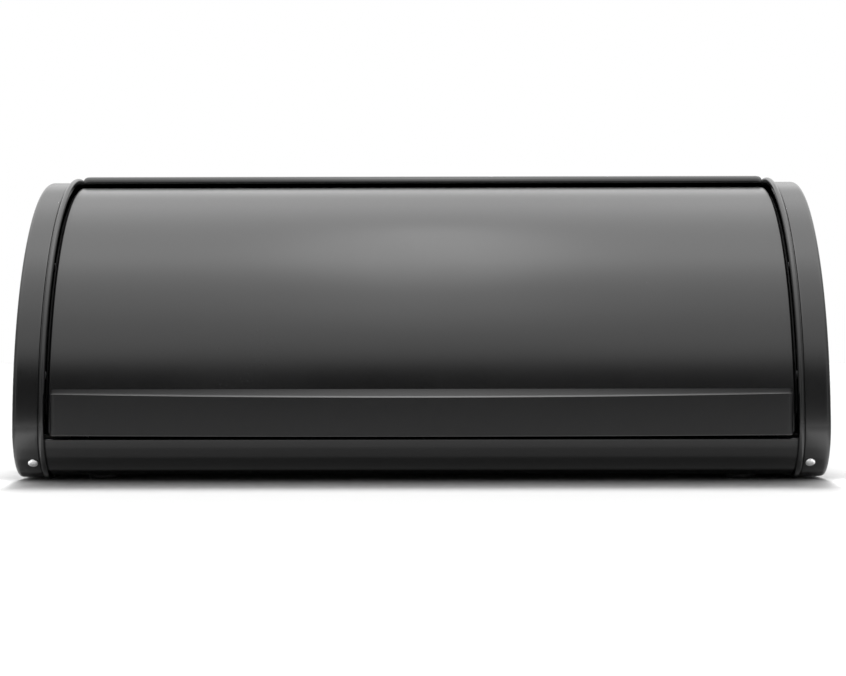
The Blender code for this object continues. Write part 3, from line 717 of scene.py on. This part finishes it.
# ---- end caps ----
def cap_section():
    """(x, offset) round the wall of an end cap, from the outer face over the bead and back inside."""
    edge = CAP_EDGE_RADIUS
    bead = BEAD_INNER_X
    skirt = SKIRT_INNER_X
    roof = (skirt - bead) / 2
    section = [(HALF, -edge - FLAT_MARGIN)]
    for turn in turns(0.0, 90.0, CAP_EDGE_STEPS):
        section.append((HALF - edge + edge * cos(turn), -edge + edge * sin(turn)))
    section.append((HALF - edge - FLAT_MARGIN, 0.0))
    section.append((skirt + BEAD_GROOVE[0][0] + FLAT_MARGIN, 0.0))
    section += [(skirt + out, height) for out, height in BEAD_GROOVE]
    for turn in turns(0.0, 180.0, BEAD_STEPS):
        across = bead + roof + roof * cos(turn)
        section.append((across, BEAD_PROUD - roof + roof * sin(turn)))
    section += [
        (bead, -SHEET + BEAD_EASE),
        (bead + BEAD_EASE, -SHEET),
        (bead + SHEET - BEAD_EASE, -SHEET),
        (bead + SHEET, -SHEET + BEAD_EASE),
        (bead + SHEET, BEAD_PROUD - roof),
        (bead + roof, BEAD_PROUD - SHEET),
        (skirt - SHEET, BEAD_PROUD - roof),
        (skirt - SHEET, -SHEET),
    ]
    inner_edge = edge - SHEET
    for turn in turns(90.0, 0.0, CAP_INNER_STEPS):
        section.append((HALF - edge + inner_edge * cos(turn), -edge + inner_edge * sin(turn)))
    section.append((HALF - SHEET, -edge - FLAT_MARGIN))
    return section


def make_cap(label, side):
    shape = Shape()
    for x, offset in cap_section():
        shape.slice(side * x, cap_outline(offset))
    shape.loft_plate()
    make_piece("end_cap_" + label, shape, COAT, "body")


# ---- body sheets ----
def nose_path(raised):
    """Centre line of the top's rounded front edge, from its lower end up to the flat top.

    raised goes from 1, the full quarter round, to 0, a flat edge.
    """
    half = SHEET / 2
    bend = NOSE_RADIUS - half
    low = NOSE_DROP + bend
    start = NOSE_Y + half
    path = [(start, -low), (start, -bend - NOSE_DROP * NOSE_DROP_SHARE)]
    quarter = arc((0.0, 0.0), bend, 0.0, 90.0, NOSE_STEPS)
    path += [(NOSE_Y + NOSE_RADIUS + y, z - bend) for y, z in quarter]
    found = []
    for k, (y, z) in enumerate(path):
        flat = start + bend * k / (len(path) - 1)
        found.append((y * raised + flat * (1 - raised), z * raised))
    return found


def back_top_path(raised):
    """Centre line of the back and top panel: nose, top, rear bend and back wall.

    raised is 0 under an end cap's skirt, where the line follows the skirt down at the front.
    """
    half = SHEET / 2
    below = TUCK + half
    tucked_top = SKIRT_TOP - below
    top = tucked_top + (TOP_Z - half - tucked_top) * raised
    back = SKIRT_BACK - below
    corner = REAR_TOP_CORNER - (below + (half - below) * raised)
    path = [(y, top + z) for y, z in nose_path(raised)]
    path += [(NOSE_Y + NOSE_RADIUS + FLAT_MARGIN, top)]
    path += [(PIVOT_Y + TOP_SPACING * k, top) for k in range(1, 4)]
    if raised == 0:
        path = [(y, under_skirt(y, SKIRT_RADIUS - below)) for y, _ in path]
    path += [(back - corner - FLAT_MARGIN, top)]
    path += arc((back - corner, top - corner), corner, 90.0, 180.0, PANEL_BEND_STEPS)
    path += [(back, top - corner - FLAT_MARGIN), (back, BACK_MIDDLE_Z), (back, LIP_TOP_Z)]
    path += [(back, BACK_LOW_Z + SHEET), (back, BACK_LOW_Z)]
    return path


def under_skirt(y, radius):
    """Height of the front curve of this radius at y, or of its flat top behind the pins."""
    return PIVOT_Z + sqrt(radius**2 - min(y - PIVOT_Y, 0.0) ** 2)


def make_back_top():
    """The panel, low under both skirts and raised between them, with a rounded step on each side."""
    stations = [(SHEET_END_X, back_top_path(0.0)), (STEP_OUTER_X + FLAT_MARGIN, back_top_path(0.0))]
    for k in range(STEP_STATIONS + 1):
        share = 1.0 - cos(pi / 2 * k / STEP_STATIONS)
        x = STEP_OUTER_X + (STEP_INNER_X - STEP_OUTER_X) * share
        raised = (1.0 - (1.0 - share) ** STEP_SQUARENESS) ** (1.0 / STEP_SQUARENESS)
        stations.append((x, back_top_path(raised)))
    stations.append((STEP_INNER_X - FLAT_MARGIN, back_top_path(1.0)))
    stations.append((STEP_INNER_X * PANEL_INNER_SHARE, back_top_path(1.0)))
    shape = Shape()
    mirrored = [(-x, path) for x, path in stations]
    for x, path in mirrored + stations[::-1]:
        shape.slice(x, thick_loop(path, SHEET))
    shape.loft_strip()
    make_piece("back_top_panel", shape, COAT, "body")


def base_path():
    """Centre line of the base panel: turned-in edge, front strip, low corner, bottom, rear lip."""
    inset = TUCK + SHEET / 2
    bottom = SKIRT_BOTTOM + inset
    radius = SKIRT_RADIUS - inset
    corner = FRONT_CORNER - inset
    centre, _ = front_corner(bottom, radius, corner)
    back = SKIRT_BACK - TUCK - SHEET - GAP - SHEET / 2
    rear = REAR_BOTTOM_CORNER - inset
    bend = STRIP_BEND
    meet = asin((STRIP_TOP_Z - bend - centre[1]) / (corner - bend))
    bend_centre = (centre[0] - (corner - bend) * cos(meet), STRIP_TOP_Z - bend)
    path = [(bend_centre[0] + STRIP_TURN_IN - bend, STRIP_TOP_Z)]
    path += [(bend_centre[0] + STRIP_MARGIN, STRIP_TOP_Z)]
    path += arc(bend_centre, bend, 90.0, degrees(meet), STRIP_BEND_STEPS)
    path += arc(centre, corner, degrees(meet), -90.0, BASE_CORNER_STEPS)[1:]
    path += [(centre[0] + FLAT_MARGIN, bottom), (back - rear - FLAT_MARGIN, bottom)]
    path += arc((back - rear, bottom + rear), rear, 270.0, 180.0, BASE_REAR_STEPS)
    path += [(back, bottom + rear + FLAT_MARGIN), (back, LIP_TOP_Z - SHEET), (back, LIP_TOP_Z)]
    return path


def make_base():
    shape = Shape()
    loop = thick_loop(base_path(), SHEET)
    for share in (-1.0, -0.5, 0.0, 0.5, 1.0):
        shape.slice(SHEET_END_X * share, loop)
    shape.loft_strip()
    make_piece("base_panel", shape, COAT, "body")


# ---- lid ----
def lid_side(half, pinch):
    """(x, radius) from the flange's free edge round the bend to the face, on the right side."""
    bend = LID_EDGE_RADIUS
    half = half - pinch
    found = [(half, LID_RADIUS - LID_FLANGE + pinch), (half, LID_RADIUS - bend - FLAT_MARGIN)]
    reach = bend - pinch
    for turn in turns(0.0, 90.0, LID_BEND_STEPS):
        found.append((half + pinch - bend + reach * cos(turn), LID_RADIUS - bend + reach * sin(turn)))
    found.append((half + pinch - bend - FLAT_MARGIN, LID_RADIUS - pinch))
    found.append((half * LID_INNER_SHARE, LID_RADIUS - pinch))
    return found


def lid_loop(half, pinch):
    """The whole section at one angle; pinch thins the sheet from both faces towards an edge."""
    right_out = lid_side(half, pinch)
    right_in = lid_side(half, SHEET - pinch)
    left_out = [(-x, radius) for x, radius in right_out]
    left_in = [(-x, radius) for x, radius in right_in]
    return left_out + right_out[::-1] + right_in + left_in[::-1]


def lid_stations():
    """(angle, half width, pinch) up the lid, close together at its edges and rounded low corners."""
    half_sheet = SHEET / 2
    corner_deg = degrees(LID_CORNER / LID_RADIUS)
    round_deg = degrees(half_sheet / LID_RADIUS)
    stations = []
    for turn in turns(0.0, 90.0, LID_CORNER_STEPS):
        rise = corner_deg * (1.0 - cos(turn))
        half = LID_HALF - LID_CORNER * (1.0 - sin(turn))
        pinch = 0.0
        if rise < round_deg:
            pinch = half_sheet * (1.0 - sqrt(1.0 - (1.0 - rise / round_deg) ** 2)) * EDGE_PINCH
        stations.append((LID_LOW_DEG + rise, half, pinch))
    start = LID_LOW_DEG + corner_deg
    end = LID_HIGH_DEG - round_deg
    for k in range(1, LID_STEPS + 1):
        stations.append((start + (end - start) * k / LID_STEPS, LID_HALF, 0.0))
    for turn in turns(0.0, 90.0, LID_TOP_STEPS)[1:]:
        pinch = half_sheet * (1.0 - cos(turn)) * EDGE_PINCH
        stations.append((end + round_deg * sin(turn), LID_HALF, pinch))
    return stations


def make_lid():
    shape = Shape()
    for turn_deg, half, pinch in lid_stations():
        shape.ring([(x, *on_circle(radius, turn_deg)) for x, radius in lid_loop(half, pinch)])
    shape.loft_strip()
    make_piece("lid_panel", shape, COAT, "lid")


# ---- grip ----
def lid_front_y(radius, z):
    """Where the front curve of this radius about the pins lies at height z."""
    return PIVOT_Y - sqrt(radius**2 - (z - PIVOT_Z) ** 2)


def rounded(points, rounds):
    """The closed polygon with each corner replaced by a short curve of its own reach."""
    found = []
    for index, (here, reach) in enumerate(zip(points, rounds)):
        after = points[(index + 1) % len(points)]
        found += cut_corner(points[index - 1], here, after, reach, GRIP_ROUND_MOST, GRIP_CORNER_STEPS)
    return found


def grip_section(x, inset):
    """The grip's side shape at x: bevelled top, leaning front, rounded lip and the back on the lid."""
    bow = 1.0 - (x / GRIP_HALF) ** 2
    facet = FACET_AT_ENDS + (FACET_IN_MIDDLE - FACET_AT_ENDS) * bow
    bottom = GRIP_BOTTOM_Z - GRIP_BOTTOM_BOW * bow + inset * GRIP_END_PINCH
    top = GRIP_TOP_Z - inset * GRIP_END_PINCH
    crease = GRIP_TOP_Z - facet
    front = GRIP_FRONT_Y + inset
    seat = LID_RADIUS + GRIP_SEAT
    back_low = bottom + GRIP_GROOVE
    lip = GRIP_LIP - inset * GRIP_LIP_PINCH
    points = [
        (lid_front_y(seat, top), top),
        (lid_front_y(seat, top) - GRIP_TOP_EDGE, top),
        (front + GRIP_LEAN, crease),
        (front, bottom),
        (front + lip, bottom),
        (front + lip, back_low),
        (lid_front_y(seat, back_low), back_low),
    ]
    heights = [back_low + (top - back_low) * k / GRIP_BACK_STEPS for k in range(1, GRIP_BACK_STEPS)]
    return rounded(points, GRIP_ROUNDS) + [(lid_front_y(seat, z), z) for z in heights]


def make_grip():
    inner = GRIP_HALF - GRIP_END_ROUND
    stations = [(-inner + 2 * inner * k / (GRIP_STATIONS - 1), 0.0) for k in range(GRIP_STATIONS)]
    for turn in turns(0.0, 90.0, GRIP_END_STEPS)[1:]:
        x = inner + GRIP_END_ROUND * sin(turn)
        inset = GRIP_END_ROUND * (1.0 - cos(turn))
        stations = [(-x, inset)] + stations + [(x, inset)]
    shape = Shape()
    for x, inset in stations:
        shape.slice(x, grip_section(x, inset))
    shape.loft_plate()
    make_piece("lid_handle", shape, GRIP, "lid")


# ---- arms and pivots ----
def arm_outline(inset):
    """The sector plate's outline, drawn in by inset."""
    centre = (PIVOT_Y, PIVOT_Z)
    boss_start = ARM_HIGH_DEG + BOSS_SPREAD_DEG
    boss_end = 360.0 + ARM_LOW_DEG - BOSS_SPREAD_DEG
    path = arc(centre, ARM_RADIUS, ARM_LOW_DEG, ARM_HIGH_DEG, ARM_STEPS)
    path += arc(centre, ARM_BOSS_RADIUS, boss_start, boss_end, BOSS_STEPS)
    return offset_path(path, -inset, closed=True)


def make_arm(label, side):
    """The sector plate with eased edges and the bush's hole."""
    hole_radius = BUSH_OUTER + GAP / 2
    shape = Shape()
    levels = [(0.0, ARM_EASE), (ARM_EASE, 0.0), (ARM_THICK - ARM_EASE, 0.0), (ARM_THICK, ARM_EASE)]
    for height, inset in levels:
        shape.slice(side * (ARM_INNER_X + height), arm_outline(inset))
    hole = []
    for y, z in arm_outline(0.0):
        scale = hole_radius / hypot(y - PIVOT_Y, z - PIVOT_Z)
        hole.append((PIVOT_Y + (y - PIVOT_Y) * scale, PIVOT_Z + (z - PIVOT_Z) * scale))
    for height in (ARM_THICK, 0.0):
        shape.slice(side * (ARM_INNER_X + height), hole)
    shape.faces += ring_faces(shape.rings, closed_up=True)
    make_piece("lid_arm_" + label, shape, COAT, "lid")


def node_middle(node):
    """The middle of a CAD node's box, in millimetres."""
    lowest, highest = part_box(node)
    return [(a + b) / 2 / MM for a, b in zip(lowest, highest)]


def make_bush(label, side):
    """The flanged bush in the arm."""
    end = ARM_INNER_X + ARM_THICK + GAP + BUSH_FLANGE_THICK
    length = end - BUSH_START_X
    collar = length - BUSH_FLANGE_THICK
    bore = PIN_RADIUS + RUNNING_CLEARANCE
    profile = [(bore, 0.0), (BUSH_OUTER, 0.0), (BUSH_OUTER, collar)]
    profile += [(BUSH_FLANGE, collar), (BUSH_FLANGE, length), (bore, length)]
    at = (side * BUSH_START_X, PIVOT_Y, PIVOT_Z)
    turned("pivot_bush_" + label, profile, at, (side, 0.0, 0.0), BUSH, "lid", closed=True)


def stud_profile(radius, ease, flange, flange_thick, length, groove=()):
    """A headed stud, from its eased end past its groove to its flange."""
    collar = length - flange_thick
    profile = [(0.0, 0.0), (radius - ease, 0.0), (radius, ease), *groove]
    return profile + [(radius, collar), (flange, collar), (flange, length), (0.0, length)]


def make_pin(label, side):
    """The headed pin on the end cap, with its groove for the clip."""
    length = HALF - SHEET - SEAT_GAP - PIN_END_X
    low = BUSH_START_X - GAP - CLIP_THICK - SEAT_GAP - PIN_END_X
    high = BUSH_START_X - GAP + SEAT_GAP - PIN_END_X
    floor = PIN_RADIUS - PIN_GROOVE
    groove = [(PIN_RADIUS, low), (floor, low), (floor, high), (PIN_RADIUS, high)]
    profile = stud_profile(PIN_RADIUS, PIN_EASE, PIN_FLANGE_RADIUS, PIN_FLANGE_THICK, length, groove)
    at = (side * PIN_END_X, PIVOT_Y, PIVOT_Z)
    turned("pivot_pin_" + label, profile, at, (side, 0.0, 0.0), DULL, "body")


def make_clip(label, side):
    """The ring in the pin's groove that keeps the arm on the pin."""
    inner = PIN_RADIUS - CLIP_GRIP
    profile = [(inner, 0.0), (CLIP_RADIUS, 0.0), (CLIP_RADIUS, CLIP_THICK), (inner, CLIP_THICK)]
    at = (side * (BUSH_START_X - GAP - CLIP_THICK), PIVOT_Y, PIVOT_Z)
    turned("pivot_clip_" + label, profile, at, (side, 0.0, 0.0), DULL, "body", closed=True)


def make_stop(name, side):
    """A stud on the end cap that the lid's arm meets, from beside the arm's bush outwards."""
    _, y, z = node_middle(name)
    length = HALF - SHEET - SEAT_GAP - BUSH_START_X
    profile = stud_profile(STOP_RADIUS, STOP_EASE, STOP_FLANGE_RADIUS, STOP_FLANGE_THICK, length)
    turned(name, profile, (side * BUSH_START_X, y, z), (side, 0.0, 0.0), DULL, "body")


# ---- rivets, screws and feet ----
def rivet_profile(head, dome, stack, seat):
    """Tail to head; height 0 is the outer face of the sheets, which are stack thick together."""
    end = -stack - seat - RIVET_TAIL_THICK
    profile = [(0.0, end), (RIVET_TAIL, end), (RIVET_TAIL, -stack - seat), (RIVET_SHANK, -stack - seat)]
    profile += [(RIVET_SHANK, SEAT_GAP), (head, SEAT_GAP)]
    for turn in turns(0.0, 90.0, RIVET_DOME_STEPS)[1:-1]:
        profile.append((head * cos(turn), SEAT_GAP + dome * sin(turn)))
    profile.append((0.0, SEAT_GAP + dome))
    return profile


def make_body_rivet(name, stack, at, axis):
    """A bright rivet through the body's sheets, with its head facing along axis."""
    profile = rivet_profile(RIVET_HEAD, RIVET_DOME, stack, CURVE_SEAT_GAP)
    turned(name, profile, at, axis, BRIGHT, "body", RIVET_EASE)


def make_cap_rivets(label):
    name = "cap_rivet_front_" + label
    corner, _ = front_corner(SKIRT_BOTTOM, SKIRT_RADIUS, FRONT_CORNER)
    turn = asin((FRONT_RIVET_Z - corner[1]) / FRONT_CORNER)
    axis = (0.0, -cos(turn), sin(turn))
    at = (node_middle(name)[0], corner[0] + FRONT_CORNER * axis[1], FRONT_RIVET_Z)
    make_body_rivet(name, TWO_SHEETS, at, axis)
    for level in ("low", "high"):
        name = f"cap_rivet_rear_{level}_{label}"
        x, _, z = node_middle(name)
        stack = TWO_SHEETS + (SHEET + GAP if z < LIP_TOP_Z else 0.0)
        make_body_rivet(name, stack, (x, SKIRT_BACK, z), (0.0, 1.0, 0.0))


def make_seam_rivets():
    for label in ("left", "middle", "right"):
        name = "seam_rivet_" + label
        x, _, z = node_middle(name)
        make_body_rivet(name, TWO_SHEETS, (x, SKIRT_BACK - TUCK, z), (0.0, 1.0, 0.0))


def make_arm_rivets(label, side):
    flange_inner = LID_HALF - SHEET
    stack = ARM_INNER_X + ARM_THICK - flange_inner
    profile = rivet_profile(RIVET_TAIL, ARM_RIVET_DOME, stack, SEAT_GAP)
    for index in (1, 2, 3):
        name = f"arm_rivet_{label}_{index}"
        _, y, z = node_middle(name)
        at = (side * flange_inner, y, z)
        turned(name, profile, at, (-side, 0.0, 0.0), DULL, "lid", RIVET_EASE)


def make_handle_screws():
    """Pan-head screws from inside the lid; the shank is inside the grip."""
    inside = LID_RADIUS - SHEET
    turn = radians(SCREW_DEG)
    axis = Vector((0.0, -cos(turn), sin(turn)))
    under = -CURVE_SEAT_GAP
    end = -SCREW_HEAD_THICK - CURVE_SEAT_GAP
    profile = [(0.0, end + SCREW_RECESS), (SCREW_RECESS_RADIUS[0], end + SCREW_RECESS)]
    profile += [(SCREW_RECESS_RADIUS[1], end), (SCREW_HEAD - SCREW_HEAD_EASE[0], end)]
    profile += [(SCREW_HEAD, end + SCREW_HEAD_EASE[1]), (SCREW_HEAD, under)]
    profile += [(SCREW_SHANK, under), (SCREW_SHANK, SCREW_REACH), (0.0, SCREW_REACH)]
    for index in (1, 2, 3, 4):
        name = f"handle_screw_{index}"
        x = node_middle(name)[0]
        at = (x, PIVOT_Y + inside * axis.y, PIVOT_Z + inside * axis.z)
        turned(name, profile, at, tuple(axis), DULL, "lid")


def make_foot(name):
    """A rubber foot under the base, pushed through it and held by a button inside."""
    x, y, _ = node_middle(name)
    under = SKIRT_BOTTOM + TUCK - SEAT_GAP
    over = SKIRT_BOTTOM + TUCK + SHEET + SEAT_GAP
    top = over + FOOT_BUTTON_THICK
    profile = [(0.0, 0.0), (FOOT_RADIUS - FOOT_CHAMFER, 0.0), (FOOT_RADIUS, FOOT_CHAMFER)]
    profile += [(FOOT_RADIUS, under), (FOOT_STEM, under), (FOOT_STEM, over)]
    profile += [(FOOT_BUTTON, over), (FOOT_BUTTON - FOOT_BUTTON_CHAMFER, top), (0.0, top)]
    turned(name, profile, (x, y, 0.0), (0.0, 0.0, 1.0), RUBBER, "body", FOOT_EASE)


# ---- studio ----
# The reflected studio as (degrees, level), from the horizon in front, over the top, to the horizon behind.
SKY = [
    (0.0, 3.2), (1.6, 3.2), (2.8, 0.10), (14.0, 0.12), (27.0, 0.0), (30.0, 0.25), (33.5, 1.40),
    (38.0, 1.66), (46.0, 1.85), (52.0, 1.85), (58.0, 2.25), (62.0, 2.40), (66.0, 2.35),
    (72.0, 2.65), (78.0, 2.9), (82.5, 3.4), (86.0, 3.75), (89.0, 3.75), (95.0, 3.35),
    (103.0, 2.95), (112.0, 2.6), (121.0, 2.5), (129.0, 2.3), (138.0, 1.75), (145.0, 1.25),
    (153.0, 1.6), (158.0, 1.6), (165.0, 1.1), (180.0, 0.8),
]
# Flags darken it sideways: where they start and end, from 0 in the middle to 1 aside, and what is left.
FLAGS_FROM_TO = (0.45, 1.0)
FLAGS_LEVEL = 0.25
# Tall boxes of light beside the front, also (degrees, level), and how far aside they start and end.
BOX_GLOW = [(0.0, 0.9), (24.0, 0.9), (40.0, 0.0), (180.0, 0.0)]
BOXES_START = (0.28, 0.42)
BOXES_END = (0.60, 0.80)
# What lights matt surfaces, also (degrees, level), and how far aside it fades.
FLOOR_GLOW = [(0.0, 0.06), (90.0, 0.1), (112.0, 0.25), (180.0, 0.3)]
FLOOR_GLOW_FROM_TO = (0.2, 0.6)
WHITE = (1.0, 1.0, 1.0, 1.0)
# Light from behind: height above the horizon and width in degrees, power.
SUNS = [(48.3, 14.0, 6.3), (58.0, 20.0, 1.6)]
# Soft lamps over the lid: place, width and depth, watts.
LAMPS = [((0.0, -0.08, 1.33), (0.26, 0.95), 1.1), ((0.0, -0.87, 1.33), (0.28, 0.80), 0.42)]
# Small lights low beside the front corners, which keep the shadow from spreading sideways.
FILL_AT = (0.238, -0.165, 0.010)
FILL_SIZE = (0.032, 0.12)
FILL_WATTS = 0.032
# Pale cards on the floor in front: y of the outer edge, y of the edge next to the bin, level.
CARDS = [(-0.295, -0.14, 0.76), (-0.14, -0.125, 0.42), (-0.125, -0.11, 0.16)]
CARD_WIDTH = 0.62
CARD_LIFT = 0.0005
FLOOR_REACH = 6.0
FLOOR_SPECKLE = 60.0
FLOOR_ROUGH = (0.58, 0.64)
FLOOR_DARK = (0.45, 0.45, 0.45)
FLOOR_LIGHT = (0.46, 0.46, 0.46)


class World(Tree):
    """The nodes of the world."""

    ramp = "SMOOTHSTEP"

    def __init__(self, name):
        world = bpy.data.worlds.new(name)
        bpy.context.scene.world = world
        world.use_nodes = True
        super().__init__(world.node_tree)
        self.tree.nodes.clear()

    def glow(self, part, levels, strength):
        """A background from (degrees, level) pairs along part, which runs from 0 to 1 over 180 degrees."""
        ramp = self.add("ShaderNodeValToRGB")
        stops = ramp.color_ramp.elements
        most = max(level for _, level in levels)
        places = [(turn_deg / 180.0, level / most) for turn_deg, level in levels]
        stops[0].position, first = places[0]
        stops[0].color = (first, first, first, 1.0)
        stops[1].position, last = places[-1]
        stops[1].color = (last, last, last, 1.0)
        for place, level in places[1:-1]:
            stops.new(place).color = (level, level, level, 1.0)
        self.join(part, ramp.inputs["Fac"])
        background = self.add("ShaderNodeBackground")
        self.join(ramp.outputs["Color"], background.inputs["Color"])
        self.join(self.math("MULTIPLY", strength, most), background.inputs["Strength"])
        return background.outputs["Background"]

    def shader(self, kind, *outputs):
        """A shader node with these outputs joined to its sockets in turn."""
        node = self.add(kind)
        for output, socket in zip(outputs, node.inputs):
            self.join(output, socket)
        return node.outputs["Shader"]


def make_world():
    """A studio made of three glows, each seen by its own kind of ray.

    Reflections see a dark front with a tall box of light on each side, a large soft light overhead and a
    pale back. Matt surfaces get a weak glow, mostly from behind, beside the suns. The camera sees white.
    """
    world = World("studio")
    split = world.add("ShaderNodeSeparateXYZ")
    world.join(world.add("ShaderNodeTexCoord").outputs["Generated"], split.inputs["Vector"])
    ahead = world.math("MULTIPLY", split.outputs["Y"], -1.0)
    turn = world.math("ARCTAN2", split.outputs["Z"], ahead)
    part = world.math("DIVIDE", turn, pi, clamp=True)
    aside = world.math("ABSOLUTE", split.outputs["X"])
    above = world.glow(part, SKY, world.span(aside, *FLAGS_FROM_TO, 1.0, FLAGS_LEVEL))
    starting = world.span(aside, *BOXES_START, 0.0, 1.0)
    ending = world.span(aside, *BOXES_END, 1.0, 0.0)
    boxes = world.glow(part, BOX_GLOW, world.math("MULTIPLY", starting, ending))
    reflected = world.shader("ShaderNodeAddShader", above, boxes)
    lit = world.glow(part, FLOOR_GLOW, world.span(aside, *FLOOR_GLOW_FROM_TO, 1.0, 0.0))
    white = world.add("ShaderNodeBackground")
    white.inputs["Color"].default_value = WHITE
    path = world.add("ShaderNodeLightPath")
    glow = world.shader("ShaderNodeMixShader", path.outputs["Is Diffuse Ray"], reflected, lit)
    out = world.add("ShaderNodeOutputWorld")
    camera_ray = path.outputs["Is Camera Ray"]
    seen = world.shader("ShaderNodeMixShader", camera_ray, glow, white.outputs["Background"])
    world.join(seen, out.inputs["Surface"])


def add_light(name, kind, power, placing, unseen_by, **settings):
    """A light placed by a matrix; the kinds of ray named in unseen_by don't meet it."""
    data = bpy.data.lights.new(name, kind)
    for key, value in settings.items():
        setattr(data, key, value)
    data.energy = power
    light = bpy.data.objects.new(name, data)
    light.matrix_world = placing
    for ray in unseen_by:
        setattr(light, "visible_" + ray, False)
    bpy.context.scene.collection.objects.link(light)


def make_suns():
    """Soft light from behind, which throws the bin's shadow forwards and isn't seen in reflections."""
    for height_deg, width_deg, power in SUNS:
        placing = Matrix.Rotation(radians(height_deg - 90.0), 4, "X")
        add_light("sun", "SUN", power, placing, ("camera", "glossy"), angle=radians(width_deg))


def make_lamps():
    """Long soft lamps over the lid, for the brighter patch in its middle."""
    for place, (width, depth), watts in LAMPS:
        placing = Matrix.Translation(place)
        add_light("lamp", "AREA", watts, placing, ("camera",), shape="ELLIPSE", size=width, size_y=depth)


def make_fills():
    """Low lights that brighten the floor just outside each front corner and aren't seen in reflections."""
    across, y, z = FILL_AT
    sizes = {"shape": "ELLIPSE", "size": FILL_SIZE[0], "size_y": FILL_SIZE[1]}
    for side in (-1, 1):
        placing = Matrix.Translation((side * across, y, z))
        add_light("fill", "AREA", FILL_WATTS, placing, ("camera", "glossy"), **sizes)


def make_cards():
    """Pale cards on the floor in front, facing up and seen only in reflections."""
    for outer, inner, level in CARDS:
        depth = inner - outer
        placing = Matrix.Translation((0.0, (inner + outer) / 2, CARD_LIFT)) @ Matrix.Rotation(pi, 4, "X")
        watts = level * pi * CARD_WIDTH * depth
        sizes = {"shape": "RECTANGLE", "size": CARD_WIDTH, "size_y": depth}
        add_light("card", "AREA", watts, placing, ("camera", "diffuse"), **sizes)


def make_floor():
    mesh = bpy.data.meshes.new("studio_floor")
    corners = [(-1, -1), (1, -1), (1, 1), (-1, 1)]
    mesh.from_pydata([(x * FLOOR_REACH, y * FLOOR_REACH, 0) for x, y in corners], [], [(0, 1, 2, 3)])
    floor = bpy.data.objects.new("studio_floor", mesh)
    bpy.context.scene.collection.objects.link(floor)
    nodes = Nodes("floor_pale")
    speckle = nodes.noise(FLOOR_SPECKLE, detail=4.0)
    nodes.rough(nodes.span(speckle, *NOISE_RANGE, *FLOOR_ROUGH))
    nodes.tone(speckle, FLOOR_DARK, FLOOR_LIGHT)
    floor.data.materials.append(nodes.material)


def make_camera():
    data = bpy.data.cameras.new("camera")
    data.lens = CAMERA_LENS
    data.sensor_width = CAMERA_SENSOR
    data.clip_start, data.clip_end = CAMERA_CLIP
    camera = bpy.data.objects.new("camera", data)
    bpy.context.scene.collection.objects.link(camera)
    turn = Matrix.Rotation(CAMERA_YAW, 4, "Z") @ Matrix.Rotation(pi / 2, 4, "X")
    turn = turn @ Matrix.Rotation(CAMERA_ROLL, 4, "Z")
    camera.matrix_world = Matrix.Translation(CAMERA_AT) @ turn
    bpy.context.scene.camera = camera


make_base()
make_back_top()
make_lid()
make_grip()
make_seam_rivets()
make_handle_screws()
for label, side in (("left", -1), ("right", 1)):
    make_cap(label, side)
    make_arm(label, side)
    make_bush(label, side)
    make_pin(label, side)
    make_clip(label, side)
    make_cap_rivets(label)
    make_arm_rivets(label, side)
    for stop in ("closed", "open"):
        make_stop(f"stop_pin_{stop}_{label}", side)
    for place in ("front", "rear"):
        make_foot(f"foot_{place}_{label}")

make_world()
make_suns()
make_lamps()
make_fills()
make_cards()
make_floor()
make_camera()
bpy.context.scene.view_settings.view_transform = "Standard"
